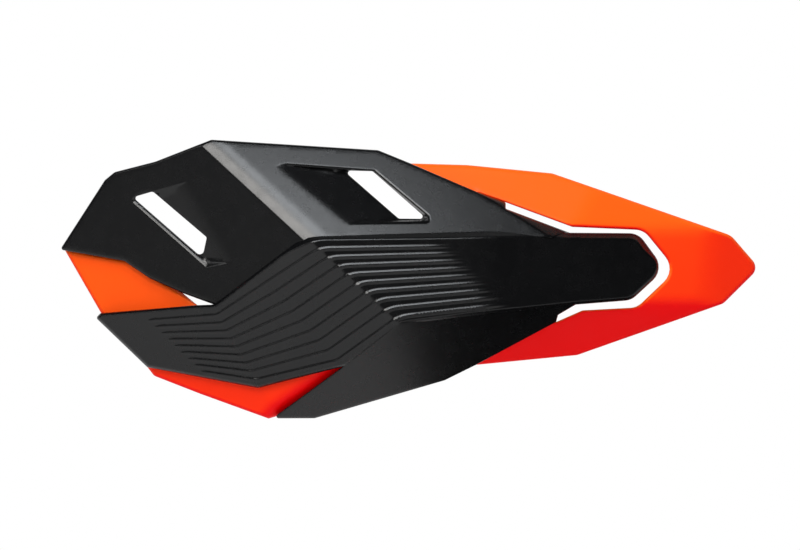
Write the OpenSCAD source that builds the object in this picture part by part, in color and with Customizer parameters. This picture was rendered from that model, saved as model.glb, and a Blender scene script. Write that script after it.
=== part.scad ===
// Motorcycle hand guard for the left-hand end of a handlebar.
// A moulded front shield lies over an inner shield, six small screws hold the two together,
// and a forked clamp and an arm carry them in front of the hand.
// The origin is the centre of the bar in the clamp: +X points outboard along the bar,
// -Y points forward into the wind and +Z points up.

/* [Front shield] */
// Distance from the bar's centre forward to the foremost point of the shield
reach = 112; // [100:1:130]
// Wall of the front shield
front_wall = 2.6; // [2:0.1:3.5]
// How far the ribs stand out of the ribbed panel
rib_h = 0.5; // [0.3:0.05:0.8]
// Width of one rib
rib_w = 1.7; // [1:0.1:2.4]
// Number of ribs
rib_count = 9; // [5:1:11]
// How fast the floor of an air scoop drops, per mm from its soft edge
scoop_slope = 0.25; // [0.1:0.05:0.3]
// Corner radius of the two air openings
vent_corner_r = 1.6; // [0.5:0.1:3]
// Corner radius at the end of the tongue
tongue_corner_r = 7; // [3:0.5:8]
// How far the side walls of the tongue turn back
tongue_rim_h = 5; // [3:0.5:8]

/* [Inner shield] */
// Wall of the inner shield
inner_wall = 2.4; // [2:0.1:3.5]
// Gap left between the two shields
shield_gap = 0.3; // [0.2:0.05:1]
// Room left round the walls of an air scoop
scoop_room = 0.6; // [0.3:0.1:1.5]
// Corner radius at the outboard tip
tip_corner_r = 12; // [4:1:14]
// How far the rim of the inner shield turns back from its face
rim_h = 6; // [4:0.5:10]

/* [Shield screws] */
// Diameter of a self-tapping shield screw
screw_d = 3.9; // [3:0.1:4.5]
// Length of a shield screw under its head
screw_l = 5.4; // [4:0.1:5.6]
// Diameter of its pan head
screw_head_d = 7.5; // [6.5:0.1:8]
// Height of its pan head
screw_head_h = 2.4; // [1.5:0.1:3]
// Outer diameter of the boss that the screw goes into
screw_boss_d = 6.4; // [5.8:0.1:7]
// Height of the round pad under a screw head
screw_pad_h = 2; // [1:0.1:3]

/* [Arm] */
// Room between the back of the inner shield and the arm's foot
foot_room = 3.7; // [3:0.1:8]
// Thickness of the arm's foot
foot_t = 7; // [5:0.5:9]
// Height of the arm's foot
foot_h = 20; // [17:0.5:22]
// Distance along the bar from the clamp to the middle of the foot
foot_x = 22; // [20:0.5:24]
// Distance of the middle of the foot below the bar's centre
foot_drop = 10; // [8:0.5:12]
// Spacing of the two arm bolts
arm_bolt_pitch = 32; // [28:0.5:34]
// Thickness of the arm's side flanges and of its web
arm_wall = 4; // [3:0.5:5]
// Diameter of the arm's eye
eye_d = 21; // [18:0.5:22]
// Height of the arm's eye
eye_h = 16; // [12:0.5:18]

/* [Clamp] */
// Diameter of the handlebar
bar_d = 22.2; // [22:0.1:22.4]
// Wall of the reducing sleeve
sleeve_wall = 3.2; // [2:0.1:4]
// Width of the clamp along the bar
clamp_w = 24; // [20:1:30]
// Thickness of the clamp's metal round the sleeve
clamp_wall = 5; // [4:0.5:7]
// Gap between the two clamp halves
clamp_gap = 1.6; // [0.8:0.1:3]
// Thickness of the flanges that the clamp screws pull together
flange_t = 10; // [8:0.5:12]
// Distance from the bar's centre forward to the pivot bolt
pivot_reach = 38; // [36:0.5:42]
// Thickness of each of the clamp's two ears
ear_t = 6; // [4:0.5:8]

/* [Fasteners] */
// Thread diameter of the arm bolts and the clamp screws
m6_d = 6; // [5:1:6]
// Thread diameter of the pivot bolt
m8_d = 8; // [6:1:8]
// Length of the brass inserts
insert_l = 9; // [6:0.5:9.5]
// Outer diameter of the brass inserts
insert_d = 9; // [8:0.5:10]
// Clearance between a screw or bolt and its hole, on the radius
hole_play = 0.1; // [0.05:0.05:0.3]
// Clearance between two faces that slide past each other
face_play = 0.2; // [0.1:0.05:0.5]
// Facets of a full circle
facets = 48; // [24:4:96]

/* [Hidden] */
$fn = facets;

// Larger than any piece, for the blocks that cut with one face
far = 400;
shell_depth = 90;
black = [0.13, 0.13, 0.14];
orange = [1.0, 0.33, 0.08];
steel = [0.72, 0.73, 0.75];
brass = [0.80, 0.62, 0.28];

// A facet is [x, z, depth, outboard slope, upward slope]: a flat that lies depth behind the
// foremost point at x, z and falls back by the two slopes.
upper_left = [17.7, 12.3, 2, -0.456, -0.012];
upper_right = [17.7, 12.3, 2, 0.117, 0.61];
wing = [-18.5, -14.1, 13, -0.4, -0.333];
climb = [19.6, 9.6, 0, -0.199, -0.228];
blade = [19.6, 9.6, 0, 0.1, 0.09];
blade_mid = [87, 9.6, 6.7, 0.28, 0.09];
blade_end = [122, 9.6, 16.5, 0.42, 0.09];
keel = [53.2, -23.5, 2.9, 0.324, -0.983];
tip_top = [152, 11.8, 31.5, 0.42, 0.42];
tip_middle = [152, 0, 31.3, 0.45, 0.03];
tip_bottom = [152, -14, 31.4, 0.45, -0.65];
tip_end = [172, 0, 40.3, 0.75, 0.03];
// Flat along the ridge between the two upper facets
ridge_flat = [17.7, 12.3, 3.1, -0.14, 0.33];
// Steep edge where the upper right facet drops to the tip
drop = [83.4, 29, 19.9, 0.643, 1.459];

ridge_facets = [upper_left, upper_right, ridge_flat];
ribbed_facets = [wing, climb, blade, blade_mid, blade_end];
keel_facets = [keel];
// What the inner shield follows, which runs on straight where the front shield drops
cover_facets = concat(ridge_facets, ribbed_facets, keel_facets);
tip_facets = [tip_top, tip_middle, tip_bottom, tip_end];

// Outlines seen from the front, as [x, z] corners in clockwise order
upper_outline = [
    [-77.7, 7.5], [-60.8, 33.9], [-57, 37], [-41.2, 41], [-19.5, 49.4], [44.7, 45.4],
    [57.4, 40.2], [83.4, 29], [93.8, 25.3], [93.8, 22.8], [118.4, 13.6], [112, 11.6],
    [24, 10.6], [15.6, 8.4], [-16, -16], [-18.5, -14.1], [-30.6, -9.7], [-43.4, -4],
    [-53.2, 2.6], [-77.5, 6.9]
];
ribbed_outline = [
    [-63.9, -18], [-25, -14.3], [-18.5, -14.1], [17.4, 13.1], [68.5, 13.7],
    [106.5, 14.5], [118.4, 13.6], [145, 13.4], [155.2, -0.5], [142.2, -12.4], [120.7, -14.1],
    [84, -17.9], [53.6, -21.8], [32, -37.7], [-1.5, -46.2], [-44.3, -38.3]
];
// Radius at each of its corners
ribbed_corner_r = [
    0, 0, 4, 21, 0, 0, 0, tongue_corner_r, tongue_corner_r, tongue_corner_r, 0, 0, 12, 0, 0, 0
];
keel_outline = [
    [3.9, -57.9], [32, -37.7], [50, -22], [84, -15.6], [112, -12.6], [120.7, -14.1],
    [113.9, -18.1], [113.2, -20.8], [98.6, -28.6], [82.4, -37.3], [70.3, -43.3], [20.2, -57.9]
];
inner_outline = [
    [-76.3, 6.8], [-75.4, 8], [-59.6, 33], [-56.3, 35.8], [-40.8, 39.7], [-19.3, 48],
    [44.4, 44], [56, 39.6], [57.2, 40.3], [78.9, 39.7], [111.8, 36.5], [181, 12.6],
    [192, 0], [178, -13.7], [121.5, -33.6], [82.8, -37.3], [80, -36.9], [69.6, -41.9],
    [19.8, -56.4], [8, -56.4], [2.5, -58], [-23.9, -48.5], [-41.7, -41.6], [-44.9, -37.5],
    [-62.4, -17.2]
];
inner_corner_r = [0, 0, 0, 0, 0, 0, 0, 0, 0, 0, 0, 0.6, 0.4, 0.4, 0, 0, 0, 0, 0, 0, 0, 0, 0, 0, 0];
ring_window = [
    [83.4, 28.8], [94, 25.2], [119.4, 15.8], [147, 14.6], [159.6, -0.8], [144.4, -15.2],
    [123.4, -16.3], [113.2, -20.8], [104, -17.6], [86, -10], [80, 0], [80, 18]
];
ring_corner_r = [0, 0, 0, 1, 1, 1, 0, 0, 0, 0, 0, 0];
left_window = [
    [-57.2, 11.8], [-22.6, -16.2], [-13.5, -16.2], [-7, -2], [-27, 36.2], [-54, 30.5], [-57.2, 22]
];

// Air scoops, each a recess with its soft edge first and the opening in its floor
left_recess = [[-28.5, 33.3], [-10.4, 2.3], [-21.2, 0.2], [-51.8, 27.1]];
left_vent = [[-49.9, 27.3], [-42.2, 29.5], [-21.3, 11.8], [-23, 3.9]];
right_recess = [[33, 16.6], [5, 39.3], [9.3, 40.5], [43.6, 38], [64.6, 20.4], [65, 17]];
right_vent = [[31.4, 37.5], [42.5, 37.3], [63.4, 18.9], [52.6, 19]];
// Share of the vents' corner radius that each corner takes
vent_corners = [0.6, 1, 0.6, 1];

// Bends of the first and the last rib, from the inboard end to the outboard one
first_rib = [[-44.5, -20.4], [-17.2, -18.3], [2, -5.6], [22.1, 7.7], [76, 8.8]];
last_rib = [[-24.2, -39.9], [-2.3, -43.2], [28.9, -35.8], [53.1, -18.6], [97.3, -13.6]];
// Radius at each of a rib's bends
rib_bend_r = [0, 5, 5, 10, 0];

// Shield screws: each is [facet, x, z]
inboard_screw = [upper_left, -66, 15];
top_screw = [upper_left, -30, 40.2];
middle_screw = [upper_right, 73.8, 20];
wing_screw = [wing, -20, -36];
bottom_screw = [keel, 24, -50];
lower_screw = [keel, 62, -36];
shield_screws = [inboard_screw, top_screw, middle_screw, wing_screw, bottom_screw, lower_screw];

m6_r = m6_d/2;
m8_r = m8_d/2;
m6_head_d = 10;
m6_head_h = 6;
m6_socket_af = 5;
m6_socket_depth = 3;
m6_washer_d = 12.5;
m6_washer_t = 1.6;
m6_nut_af = 10;
m6_nut_h = 5;
m8_head_af = 13;
m8_head_h = 5.3;
m8_washer_d = 16;
m8_washer_t = 1.6;
m8_nut_h = 6.5;
insert_boss_wall = 3;
insert_boss_r = insert_d/2 + insert_boss_wall;
sleeve_r = bar_d/2 + sleeve_wall;
clamp_r = sleeve_r + clamp_wall;
// How far the heads of the clamp screws reach over the ring, and the metal outside their nuts
head_overlap = 2.6;
flange_margin = 2;
clamp_screw_z = clamp_r + m6_head_d/2 - head_overlap;
flange_z = clamp_screw_z + m6_nut_af/2 + flange_margin;
bush_r = m8_r + 2;
ear_z = eye_h/2 + face_play;
ear_r = eye_d/2;
// Room behind the arm's eye in the slot between the ears
eye_room = 0.8;
bolt_x = [foot_x - arm_bolt_pitch/2, foot_x + arm_bolt_pitch/2];
bolt_z = -foot_drop;
screw_seat = front_wall + shield_gap + inner_wall + screw_pad_h;
// Width of the arm where it leaves its foot
arm_root_w = 18;
// How far the arm's neck lies inside its eye
arm_neck_in = 0.5;
// How far the inboard and the outboard side of the arm are drawn inboard at their bend
arm_bow = [2, 6];
// Length over which the arm's foot keeps its height behind its plate
arm_shoulder = 4;
arm_steps = 8;
bush_l = eye_h + face_play;
ear_top = ear_z + ear_t;
sleeve_flange_t = 1.5;
sleeve_w = clamp_w + 2*sleeve_flange_t + 2*hole_play;
sleeve_flange_h = 1.8;
sleeve_flange_r = sleeve_r + sleeve_flange_h;
sleeve_gap = 0.8;
// Where the tongue's side walls begin, past the ends of the ring
tongue_rim_x = 114;
// Length, width and depth of the cross recess in a shield screw, and the pad's margin round its head
cross_l = 4.4;
cross_w = 1;
cross_depth = 1.5;
screw_pad_margin = 1;

function depth_of(f, x, z) = f[2] + f[3]*(x - f[0]) + f[4]*(z - f[1]);
function unit(v) = v/norm(v);
// Normal of the edge p to q that points into a clockwise outline
function inward(p, q) = unit([q[1] - p[1], p[0] - q[0]]);
// Outline moved inward by t, with mitred corners
function inset(pts, t) = [
    for (i = [0:len(pts) - 1])
        let (n = len(pts),
             before = inward(pts[(i + n - 1) % n], pts[i]),
             after = inward(pts[i], pts[(i + 1) % n]))
        pts[i] + t*(before + after)/(1 + before*after)
];
// Arc of radius r that replaces corner b between a and c
function corner(a, b, c, r) =
    let (u = unit(a - b), v = unit(c - b),
         half = acos(u*v)/2,
         mid = b + unit(u + v)*r/sin(half),
         start = b + u*r/tan(half) - mid,
         end = b + v*r/tan(half) - mid,
         from = atan2(start[1], start[0]),
         turn = atan2(end[1], end[0]) - from,
         sweep = turn > 180 ? turn - 360 : turn < -180 ? turn + 360 : turn)
    r <= 0 ? [b] : [for (k = [0:corner_steps]) mid + r*[cos(from + sweep*k/corner_steps),
                                                       sin(from + sweep*k/corner_steps)]];
function rounded(pts, radii) = [
    for (i = [0:len(pts) - 1])
        let (n = len(pts))
        each corner(pts[(i + n - 1) % n], pts[i], pts[(i + 1) % n], radii[i])
];
// Points of a curve that leaves a towards b and arrives at c
function curve(a, b, c, steps) = [
    for (k = [0:steps]) let (t = k/steps) (1 - t)*(1 - t)*a + 2*t*(1 - t)*b + t*t*c
];
// A rib's outline: a band of width w along pts that ends in two points
function band_side(pts, w) = [
    for (i = [1:len(pts) - 2])
        let (m = unit(inward(pts[i - 1], pts[i]) + inward(pts[i], pts[i + 1])))
        pts[i] + m*w/2
];
function reversed(v) = [for (i = [len(v) - 1:-1:0]) v[i]];
function band(pts, w) = concat(
    [pts[0]], band_side(pts, w), [pts[len(pts) - 1]], reversed(band_side(pts, -w))
);
// Floor of a scoop: it leaves facet f along the recess's first edge and drops by slope
function scoop_floor(f, recess, slope) =
    let (p = recess[0], n = inward(recess[0], recess[1]))
    [p[0], p[1], depth_of(f, p[0], p[1]), f[3] + slope*n[0], f[4] + slope*n[1]];

// Depth of the inner shield's back at x, z
function back_depth(x, z) = max([
    for (f = cover_facets)
        depth_of(f, x, z) + (front_wall + shield_gap + inner_wall)*norm([f[3], -1, f[4]])
]);

corner_steps = 4;
// The arm's foot stands off the deepest point of the shields in front of it
foot_half_w = arm_bolt_pitch/2 + foot_h/2;
foot_depth = max([
    for (x = [foot_x - foot_half_w, foot_x + foot_half_w], z = [bolt_z - foot_h/2, bolt_z + foot_h/2])
        back_depth(x, z)
]) + foot_room;
foot_reach = reach - foot_depth;
foot_back = -foot_reach + foot_t;
arm_bend_y = (foot_back - pivot_reach)/2;
left_floor = scoop_floor(upper_left, left_recess, scoop_slope);
right_floor = scoop_floor(upper_right, right_recess, scoop_slope);
tongue_outline = rounded(ribbed_outline, ribbed_corner_r);
inner_edge = rounded(inner_outline, tip_corner_r*inner_corner_r);
ring_edge = rounded(ring_window, tongue_corner_r*ring_corner_r);

// An outline extruded backward from front to back, both measured forward of the bar
module prism(pts, front = reach, back = reach - shell_depth) {
    translate([0, -back, 0]) rotate([90, 0, 0]) linear_extrude(front - back) polygon(pts);
}

// Puts its children on a facet with +Y along the normal that points back
module on_facet(f, x, z, sunk = 0) {
    translate([x, depth_of(f, x, z) - reach, z])
        rotate([-atan(f[4]*cos(atan(f[3]))), 0, atan(f[3])])
            translate([0, sunk, 0]) children();
}

// Everything behind one facet, or behind the face that lies sunk under it
module behind(f, sunk = 0) {
    on_facet(f, f[0], f[1], sunk) translate([-far, 0, -far]) cube([2*far, far, 2*far]);
}

// Everything behind a set of facets that fold away from the front
module body_behind(facet_list, sunk = 0) {
    intersection_for(f = facet_list) behind(f, sunk);
}

// A rod along +Y
module rod(r, l) {
    rotate([-90, 0, 0]) cylinder(r = r, h = l);
}

module panel(outline, facet_list) {
    intersection() {
        prism(outline);
        body_behind(facet_list);
    }
}

// Outer walls and floor of a scoop, under the facets round it
module scoop_tub(recess, floor_facet) {
    difference() {
        panel(inset(recess, -front_wall), ridge_facets);
        behind(floor_facet, front_wall);
    }
}

// The air in a scoop, in front of its floor, and the opening through it
module scoop_air(recess, floor_facet, vent) {
    difference() {
        prism(recess);
        behind(floor_facet);
    }
    prism(rounded(vent, vent_corner_r*vent_corners));
}

// Ribs that fan out across the ribbed panel and run into its wall
module ribs() {
    intersection() {
        for (i = [0:rib_count - 1]) {
            t = i/(rib_count - 1);
            prism(band(rounded((1 - t)*first_rib + t*last_rib, rib_bend_r), rib_w), reach + rib_h);
        }
        difference() {
            body_behind(ribbed_facets, -rib_h);
            body_behind(ribbed_facets, front_wall/2);
        }
    }
}

// Side walls that run round the tongue, where nothing lies behind it
module tongue_rim() {
    difference() {
        intersection() {
            panel(tongue_outline, ribbed_facets);
            translate([tongue_rim_x, -reach, -far/2]) cube([far, far, far]);
        }
        prism(inset(tongue_outline, front_wall));
        body_behind(ribbed_facets, tongue_rim_h);
    }
}

module at_screw(s, sunk) {
    on_facet(s[0], s[1], s[2], sunk) children();
}

module screw_bosses() {
    for (s = shield_screws)
        at_screw(s, front_wall/2) rod(screw_boss_d/2, screw_seat - front_wall/2 - hole_play);
}

module insert_bosses() {
    intersection() {
        for (x = bolt_x)
            translate([x, -reach, bolt_z]) rod(insert_boss_r, reach - foot_reach);
        body_behind(ribbed_facets, front_wall/2);
    }
}

// The two facets above the ribbed panel, with the steep edge towards the tip
module upper_panel() {
    difference() {
        panel(upper_outline, concat(ridge_facets, [drop]));
        body_behind(concat(cover_facets, [drop]), front_wall);
    }
}

// The ribbed panel with its tongue, and the facet below it
module lower_panels() {
    difference() {
        union() {
            panel(tongue_outline, ribbed_facets);
            panel(keel_outline, keel_facets);
        }
        body_behind(cover_facets, front_wall);
    }
}

module front_shield() {
    color(black)
    difference() {
        union() {
            difference() {
                union() {
                    upper_panel();
                    lower_panels();
                }
                intersection() {
                    prism(inset(tongue_outline, front_wall));
                    body_behind(ribbed_facets, front_wall);
                }
            }
            tongue_rim();
            ribs();
            scoop_tub(left_recess, left_floor);
            scoop_tub(right_recess, right_floor);
            screw_bosses();
            insert_bosses();
        }
        scoop_air(left_recess, left_floor, left_vent);
        scoop_air(right_recess, right_floor, right_vent);
        for (s = shield_screws)
            at_screw(s, screw_seat - screw_l - hole_play) rod(screw_d/2 + hole_play, far/10);
        for (x = bolt_x)
            translate([x, -foot_reach - insert_l - hole_play, bolt_z])
                rod(insert_d/2 + hole_play/2, insert_l + 1);
    }
}

// Everything behind the inner shield's face, or behind the face that lies sunk under it
module behind_inner(sunk = 0) {
    intersection() {
        body_behind(cover_facets, front_wall + shield_gap + sunk);
        body_behind(tip_facets, sunk);
    }
}

module inner_shield() {
    color(orange)
    difference() {
        union() {
            difference() {
                intersection() {
                    prism(inner_edge);
                    behind_inner();
                }
                behind_inner(inner_wall);
            }
            difference() {
                intersection() {
                    prism(inner_edge);
                    behind_inner();
                }
                prism(inset(inner_edge, inner_wall));
                behind_inner(rim_h);
            }
            for (s = shield_screws)
                at_screw(s, screw_seat - screw_pad_h - inner_wall/2)
                    rod(screw_head_d/2 + screw_pad_margin, screw_pad_h + inner_wall/2);
        }
        prism(ring_edge);
        difference() {
            prism(upper_outline);
            behind(drop, front_wall + shield_gap);
        }
        prism(left_window);
        prism(inset(left_recess, -front_wall - scoop_room));
        prism(inset(right_recess, -front_wall - scoop_room));
        for (s = shield_screws) {
            at_screw(s, 0) rod(screw_boss_d/2 + hole_play, far/10);
            at_screw(s, screw_seat) rod(screw_head_d/2 + face_play, far/10);
        }
        for (x = bolt_x)
            translate([x, -reach, bolt_z]) rod(insert_boss_r + face_play, reach);
    }
}

// A side profile of [y, z] points extruded along the bar, centred on x
module along_bar(pts, width, x = 0) {
    translate([x - width/2, 0, 0]) rotate([90, 0, 90]) linear_extrude(width) polygon(pts);
}

module upright(r, z0, z1, y = 0, x = 0) {
    translate([x, y, z0]) cylinder(r = r, h = z1 - z0);
}

module hex_upright(flats, z0, z1, y) {
    translate([0, y, z0]) rotate([0, 0, 30]) cylinder(d = flats/cos(30), h = z1 - z0, $fn = 6);
}

// Plan of the arm from its eye down into its foot, drawn in by t
function arm_plan(t) = concat(
    [[foot_x - arm_root_w/2 + t, -foot_reach]],
    curve([foot_x - arm_root_w/2 + t, foot_back],
          [foot_x - arm_root_w/2 - arm_bow[0] + t, arm_bend_y],
          [-eye_d/2 + arm_neck_in + t, -pivot_reach], arm_steps),
    curve([eye_d/2 - arm_neck_in - t, -pivot_reach],
          [foot_x + arm_root_w/2 - arm_bow[1] - t, arm_bend_y],
          [foot_x + arm_root_w/2 - t, foot_back], arm_steps),
    [[foot_x + arm_root_w/2 - t, -foot_reach]]
);

// Side view of the arm: its height falls from the eye to the lower foot
module arm_side(half_eye, half_foot, width) {
    eye_end = -pivot_reach - eye_d/2;
    along_bar([
        [0, -half_eye], [0, half_eye], [eye_end, half_eye],
        [foot_back + arm_shoulder, bolt_z + half_foot], [-foot_reach, bolt_z + half_foot],
        [-foot_reach, bolt_z - half_foot], [foot_back + arm_shoulder, bolt_z - half_foot],
        [eye_end, -half_eye]
    ], width);
}

module mount_arm() {
    color(black)
    difference() {
        union() {
            intersection() {
                translate([0, 0, -far/2]) linear_extrude(far) polygon(arm_plan(0));
                arm_side(eye_h/2, foot_h/2, far);
            }
            upright(eye_d/2, -eye_h/2, eye_h/2, -pivot_reach);
            translate([foot_x, -foot_reach, bolt_z]) {
                for (side = [-1, 1])
                    translate([side*arm_bolt_pitch/2, 0, 0]) rod(foot_h/2, foot_t);
                translate([-arm_bolt_pitch/2, 0, -foot_h/2])
                    cube([arm_bolt_pitch, foot_t, foot_h]);
            }
        }
        difference() {
            translate([0, 0, -far/2]) linear_extrude(far) polygon(arm_plan(arm_wall));
            arm_side(arm_wall/2, arm_wall/2, far);
            translate([-far/2, -far + foot_back + arm_wall/2, -far/2]) cube(far);
            upright(bush_r + arm_wall, -far/2, far/2, -pivot_reach);
        }
        upright(bush_r + hole_play/2, -far/2, far/2, -pivot_reach);
        for (x = bolt_x) translate([x, 0, bolt_z]) {
            translate([0, -foot_reach - 1, 0]) rod(m6_r + 3*hole_play, foot_t + 2);
            translate([0, foot_back, 0]) rod(m6_washer_d/2 + face_play, m6_washer_t + m6_head_h);
        }
    }
}

module pivot_bush() {
    color(steel)
    difference() {
        upright(bush_r, -bush_l/2, bush_l/2, -pivot_reach);
        upright(m8_r + hole_play, -far/2, far/2, -pivot_reach);
    }
}

// The two halves of the clamp before the ears are added: a ring with screw flanges
module clamp_half(front) {
    y0 = front ? -flange_t - clamp_gap/2 : clamp_gap/2;
    translate([-clamp_w/2, 0, 0]) intersection() {
        union() {
            rotate([0, 90, 0]) cylinder(r = clamp_r, h = clamp_w);
            translate([0, y0, -flange_z]) cube([clamp_w, flange_t, 2*flange_z]);
        }
        translate([-1, front ? -far - clamp_gap/2 : clamp_gap/2, -far/2]) cube([far, far, far]);
    }
}

module bar_bore(r) {
    translate([-far/2, 0, 0]) rotate([0, 90, 0]) cylinder(r = r, h = far);
}

module clamp_screw_holes() {
    for (side = [-1, 1])
        translate([0, -far/2, side*clamp_screw_z]) rod(m6_r + 3*hole_play, far);
}

module clamp_body() {
    color(steel)
    difference() {
        union() {
            clamp_half(true);
            intersection() {
                upright(ear_r, -ear_z - ear_t, ear_z + ear_t, -pivot_reach);
                translate([-far/2, -far, -far/2]) cube(far);
            }
            translate([-ear_r, -pivot_reach, -ear_z - ear_t])
                cube([2*ear_r, pivot_reach - sleeve_r, 2*(ear_z + ear_t)]);
        }
        bar_bore(sleeve_r + hole_play/2);
        clamp_screw_holes();
        translate([-far/2, -pivot_reach - far + ear_r + eye_room, -ear_z]) cube([far, far, 2*ear_z]);
        upright(m8_r + hole_play, -far/2, far/2, -pivot_reach);
        for (side = [-1, 1])
            translate([0, -clamp_gap/2 - flange_t + m6_nut_h, side*clamp_screw_z])
                rotate([90, 30, 0])
                    cylinder(d = (m6_nut_af + 2*hole_play)/cos(30), h = far/10, $fn = 6);
    }
}

module clamp_cap() {
    color(steel)
    difference() {
        clamp_half(false);
        bar_bore(sleeve_r + hole_play/2);
        clamp_screw_holes();
    }
}

module bar_sleeve(front) {
    color(black)
    difference() {
        rotate([0, 90, 0]) {
            cylinder(r = sleeve_r, h = sleeve_w, center = true);
            for (side = [-1, 1])
                translate([0, 0, side*(sleeve_w/2 - sleeve_flange_t/2)])
                    cylinder(r = sleeve_flange_r, h = sleeve_flange_t, center = true);
        }
        bar_bore(bar_d/2);
        translate([-far/2, front ? -sleeve_gap/2 : sleeve_gap/2 - far, -far/2]) cube(far);
    }
}

module bar_sleeve_front() { bar_sleeve(true); }
module bar_sleeve_rear() { bar_sleeve(false); }

module washer(inner_r, outer_r, t) {
    difference() {
        rod(outer_r, t);
        translate([0, -1, 0]) rod(inner_r, t + 2);
    }
}

// Socket-head screw that points forward, with the underside of its head at the origin
module socket_screw(l) {
    difference() {
        union() {
            rod(m6_head_d/2, m6_head_h);
            translate([0, -l, 0]) rod(m6_r, l + 1);
        }
        translate([0, m6_head_h - m6_socket_depth, 0]) rotate([-90, 0, 0])
            cylinder(d = m6_socket_af/cos(30), h = m6_socket_depth + 1, $fn = 6);
    }
}

module clamp_screw(side) {
    color(steel)
    translate([0, clamp_gap/2 + flange_t, side*clamp_screw_z])
        socket_screw(2*flange_t + clamp_gap + 1);
}

module upper_clamp_screw() { clamp_screw(1); }
module lower_clamp_screw() { clamp_screw(-1); }

module clamp_nut(side) {
    color(steel)
    difference() {
        translate([0, -clamp_gap/2 - flange_t + m6_nut_h, side*clamp_screw_z])
            rotate([90, 30, 0]) cylinder(d = m6_nut_af/cos(30), h = m6_nut_h, $fn = 6);
        translate([0, -far/2, side*clamp_screw_z]) rod(m6_r + hole_play, far);
    }
}

module upper_clamp_nut() { clamp_nut(1); }
module lower_clamp_nut() { clamp_nut(-1); }

module pivot_washer(z0) {
    color(steel)
    difference() {
        upright(m8_washer_d/2, z0, z0 + m8_washer_t, -pivot_reach);
        upright(m8_r + 2*hole_play, -far/2, far/2, -pivot_reach);
    }
}

module upper_pivot_washer() { pivot_washer(ear_top); }
module lower_pivot_washer() { pivot_washer(-ear_top - m8_washer_t); }

module pivot_bolt() {
    color(steel) {
        hex_upright(m8_head_af, ear_top + m8_washer_t, ear_top + m8_washer_t + m8_head_h,
                    -pivot_reach);
        upright(m8_r, -ear_top - m8_washer_t - m8_nut_h - 2, ear_top + m8_washer_t + 1,
                -pivot_reach);
    }
}

module pivot_nut() {
    color(steel)
    difference() {
        hex_upright(m8_head_af, -ear_top - m8_washer_t - m8_nut_h, -ear_top - m8_washer_t,
                    -pivot_reach);
        upright(m8_r + hole_play, -far/2, far/2, -pivot_reach);
    }
}

module insert(x) {
    color(brass)
    translate([x, -foot_reach - insert_l, bolt_z])
        washer(m6_r + hole_play, insert_d/2, insert_l);
}

module inboard_insert() { insert(bolt_x[0]); }
module outboard_insert() { insert(bolt_x[1]); }

module arm_washer(x) {
    color(steel)
    translate([x, foot_back, bolt_z]) washer(m6_r + 2*hole_play, m6_washer_d/2, m6_washer_t);
}

module inboard_arm_washer() { arm_washer(bolt_x[0]); }
module outboard_arm_washer() { arm_washer(bolt_x[1]); }

module arm_bolt(x) {
    color(steel)
    translate([x, foot_back + m6_washer_t, bolt_z])
        socket_screw(foot_t + m6_washer_t + insert_l - 1);
}

module inboard_arm_bolt() { arm_bolt(bolt_x[0]); }
module outboard_arm_bolt() { arm_bolt(bolt_x[1]); }

// Self-tapping screw with a pan head and a cross recess
module shield_screw(s) {
    color(steel)
    at_screw(s, screw_seat) difference() {
        union() {
            rod(screw_head_d/2, screw_head_h);
            translate([0, -screw_l, 0]) rod(screw_d/2, screw_l + 1);
        }
        for (turn = [0, 90])
            translate([0, screw_head_h, 0]) rotate([0, turn, 0])
                cube([cross_l, 2*cross_depth, cross_w], center = true);
    }
}

module inboard_shield_screw() { shield_screw(inboard_screw); }
module top_shield_screw() { shield_screw(top_screw); }
module middle_shield_screw() { shield_screw(middle_screw); }
module wing_shield_screw() { shield_screw(wing_screw); }
module bottom_shield_screw() { shield_screw(bottom_screw); }
module lower_shield_screw() { shield_screw(lower_screw); }

front_shield();
inner_shield();
mount_arm();
pivot_bush();
clamp_body();
clamp_cap();
bar_sleeve_front();
bar_sleeve_rear();
pivot_bolt();
pivot_nut();
upper_pivot_washer();
lower_pivot_washer();
upper_clamp_screw();
lower_clamp_screw();
upper_clamp_nut();
lower_clamp_nut();
inboard_insert();
outboard_insert();
inboard_arm_bolt();
outboard_arm_bolt();
inboard_arm_washer();
outboard_arm_washer();
inboard_shield_screw();
top_shield_screw();
middle_shield_screw();
wing_shield_screw();
bottom_shield_screw();
lower_shield_screw();
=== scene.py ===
"""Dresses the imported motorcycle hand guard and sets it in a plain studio.

The two moulded shields are meshed from the same facets, outlines, scoops and ribs as the
solids, with the soft folds, rolled edges and lips that a mould leaves. The arm, the clamp and
the fasteners are copied from the frame with their edges broken. Lengths are millimetres in the
guard's own frame: x runs outboard, y back to the rider and z up, from the middle of the bar.
"""

import logging
import math
from dataclasses import dataclass, field, replace
from enum import Enum
from typing import ClassVar, Iterable, Sequence

import bmesh
import bpy
import numpy as np
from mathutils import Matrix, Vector
from mathutils.geometry import delaunay_2d_cdt
from mathutils.kdtree import KDTree


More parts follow.
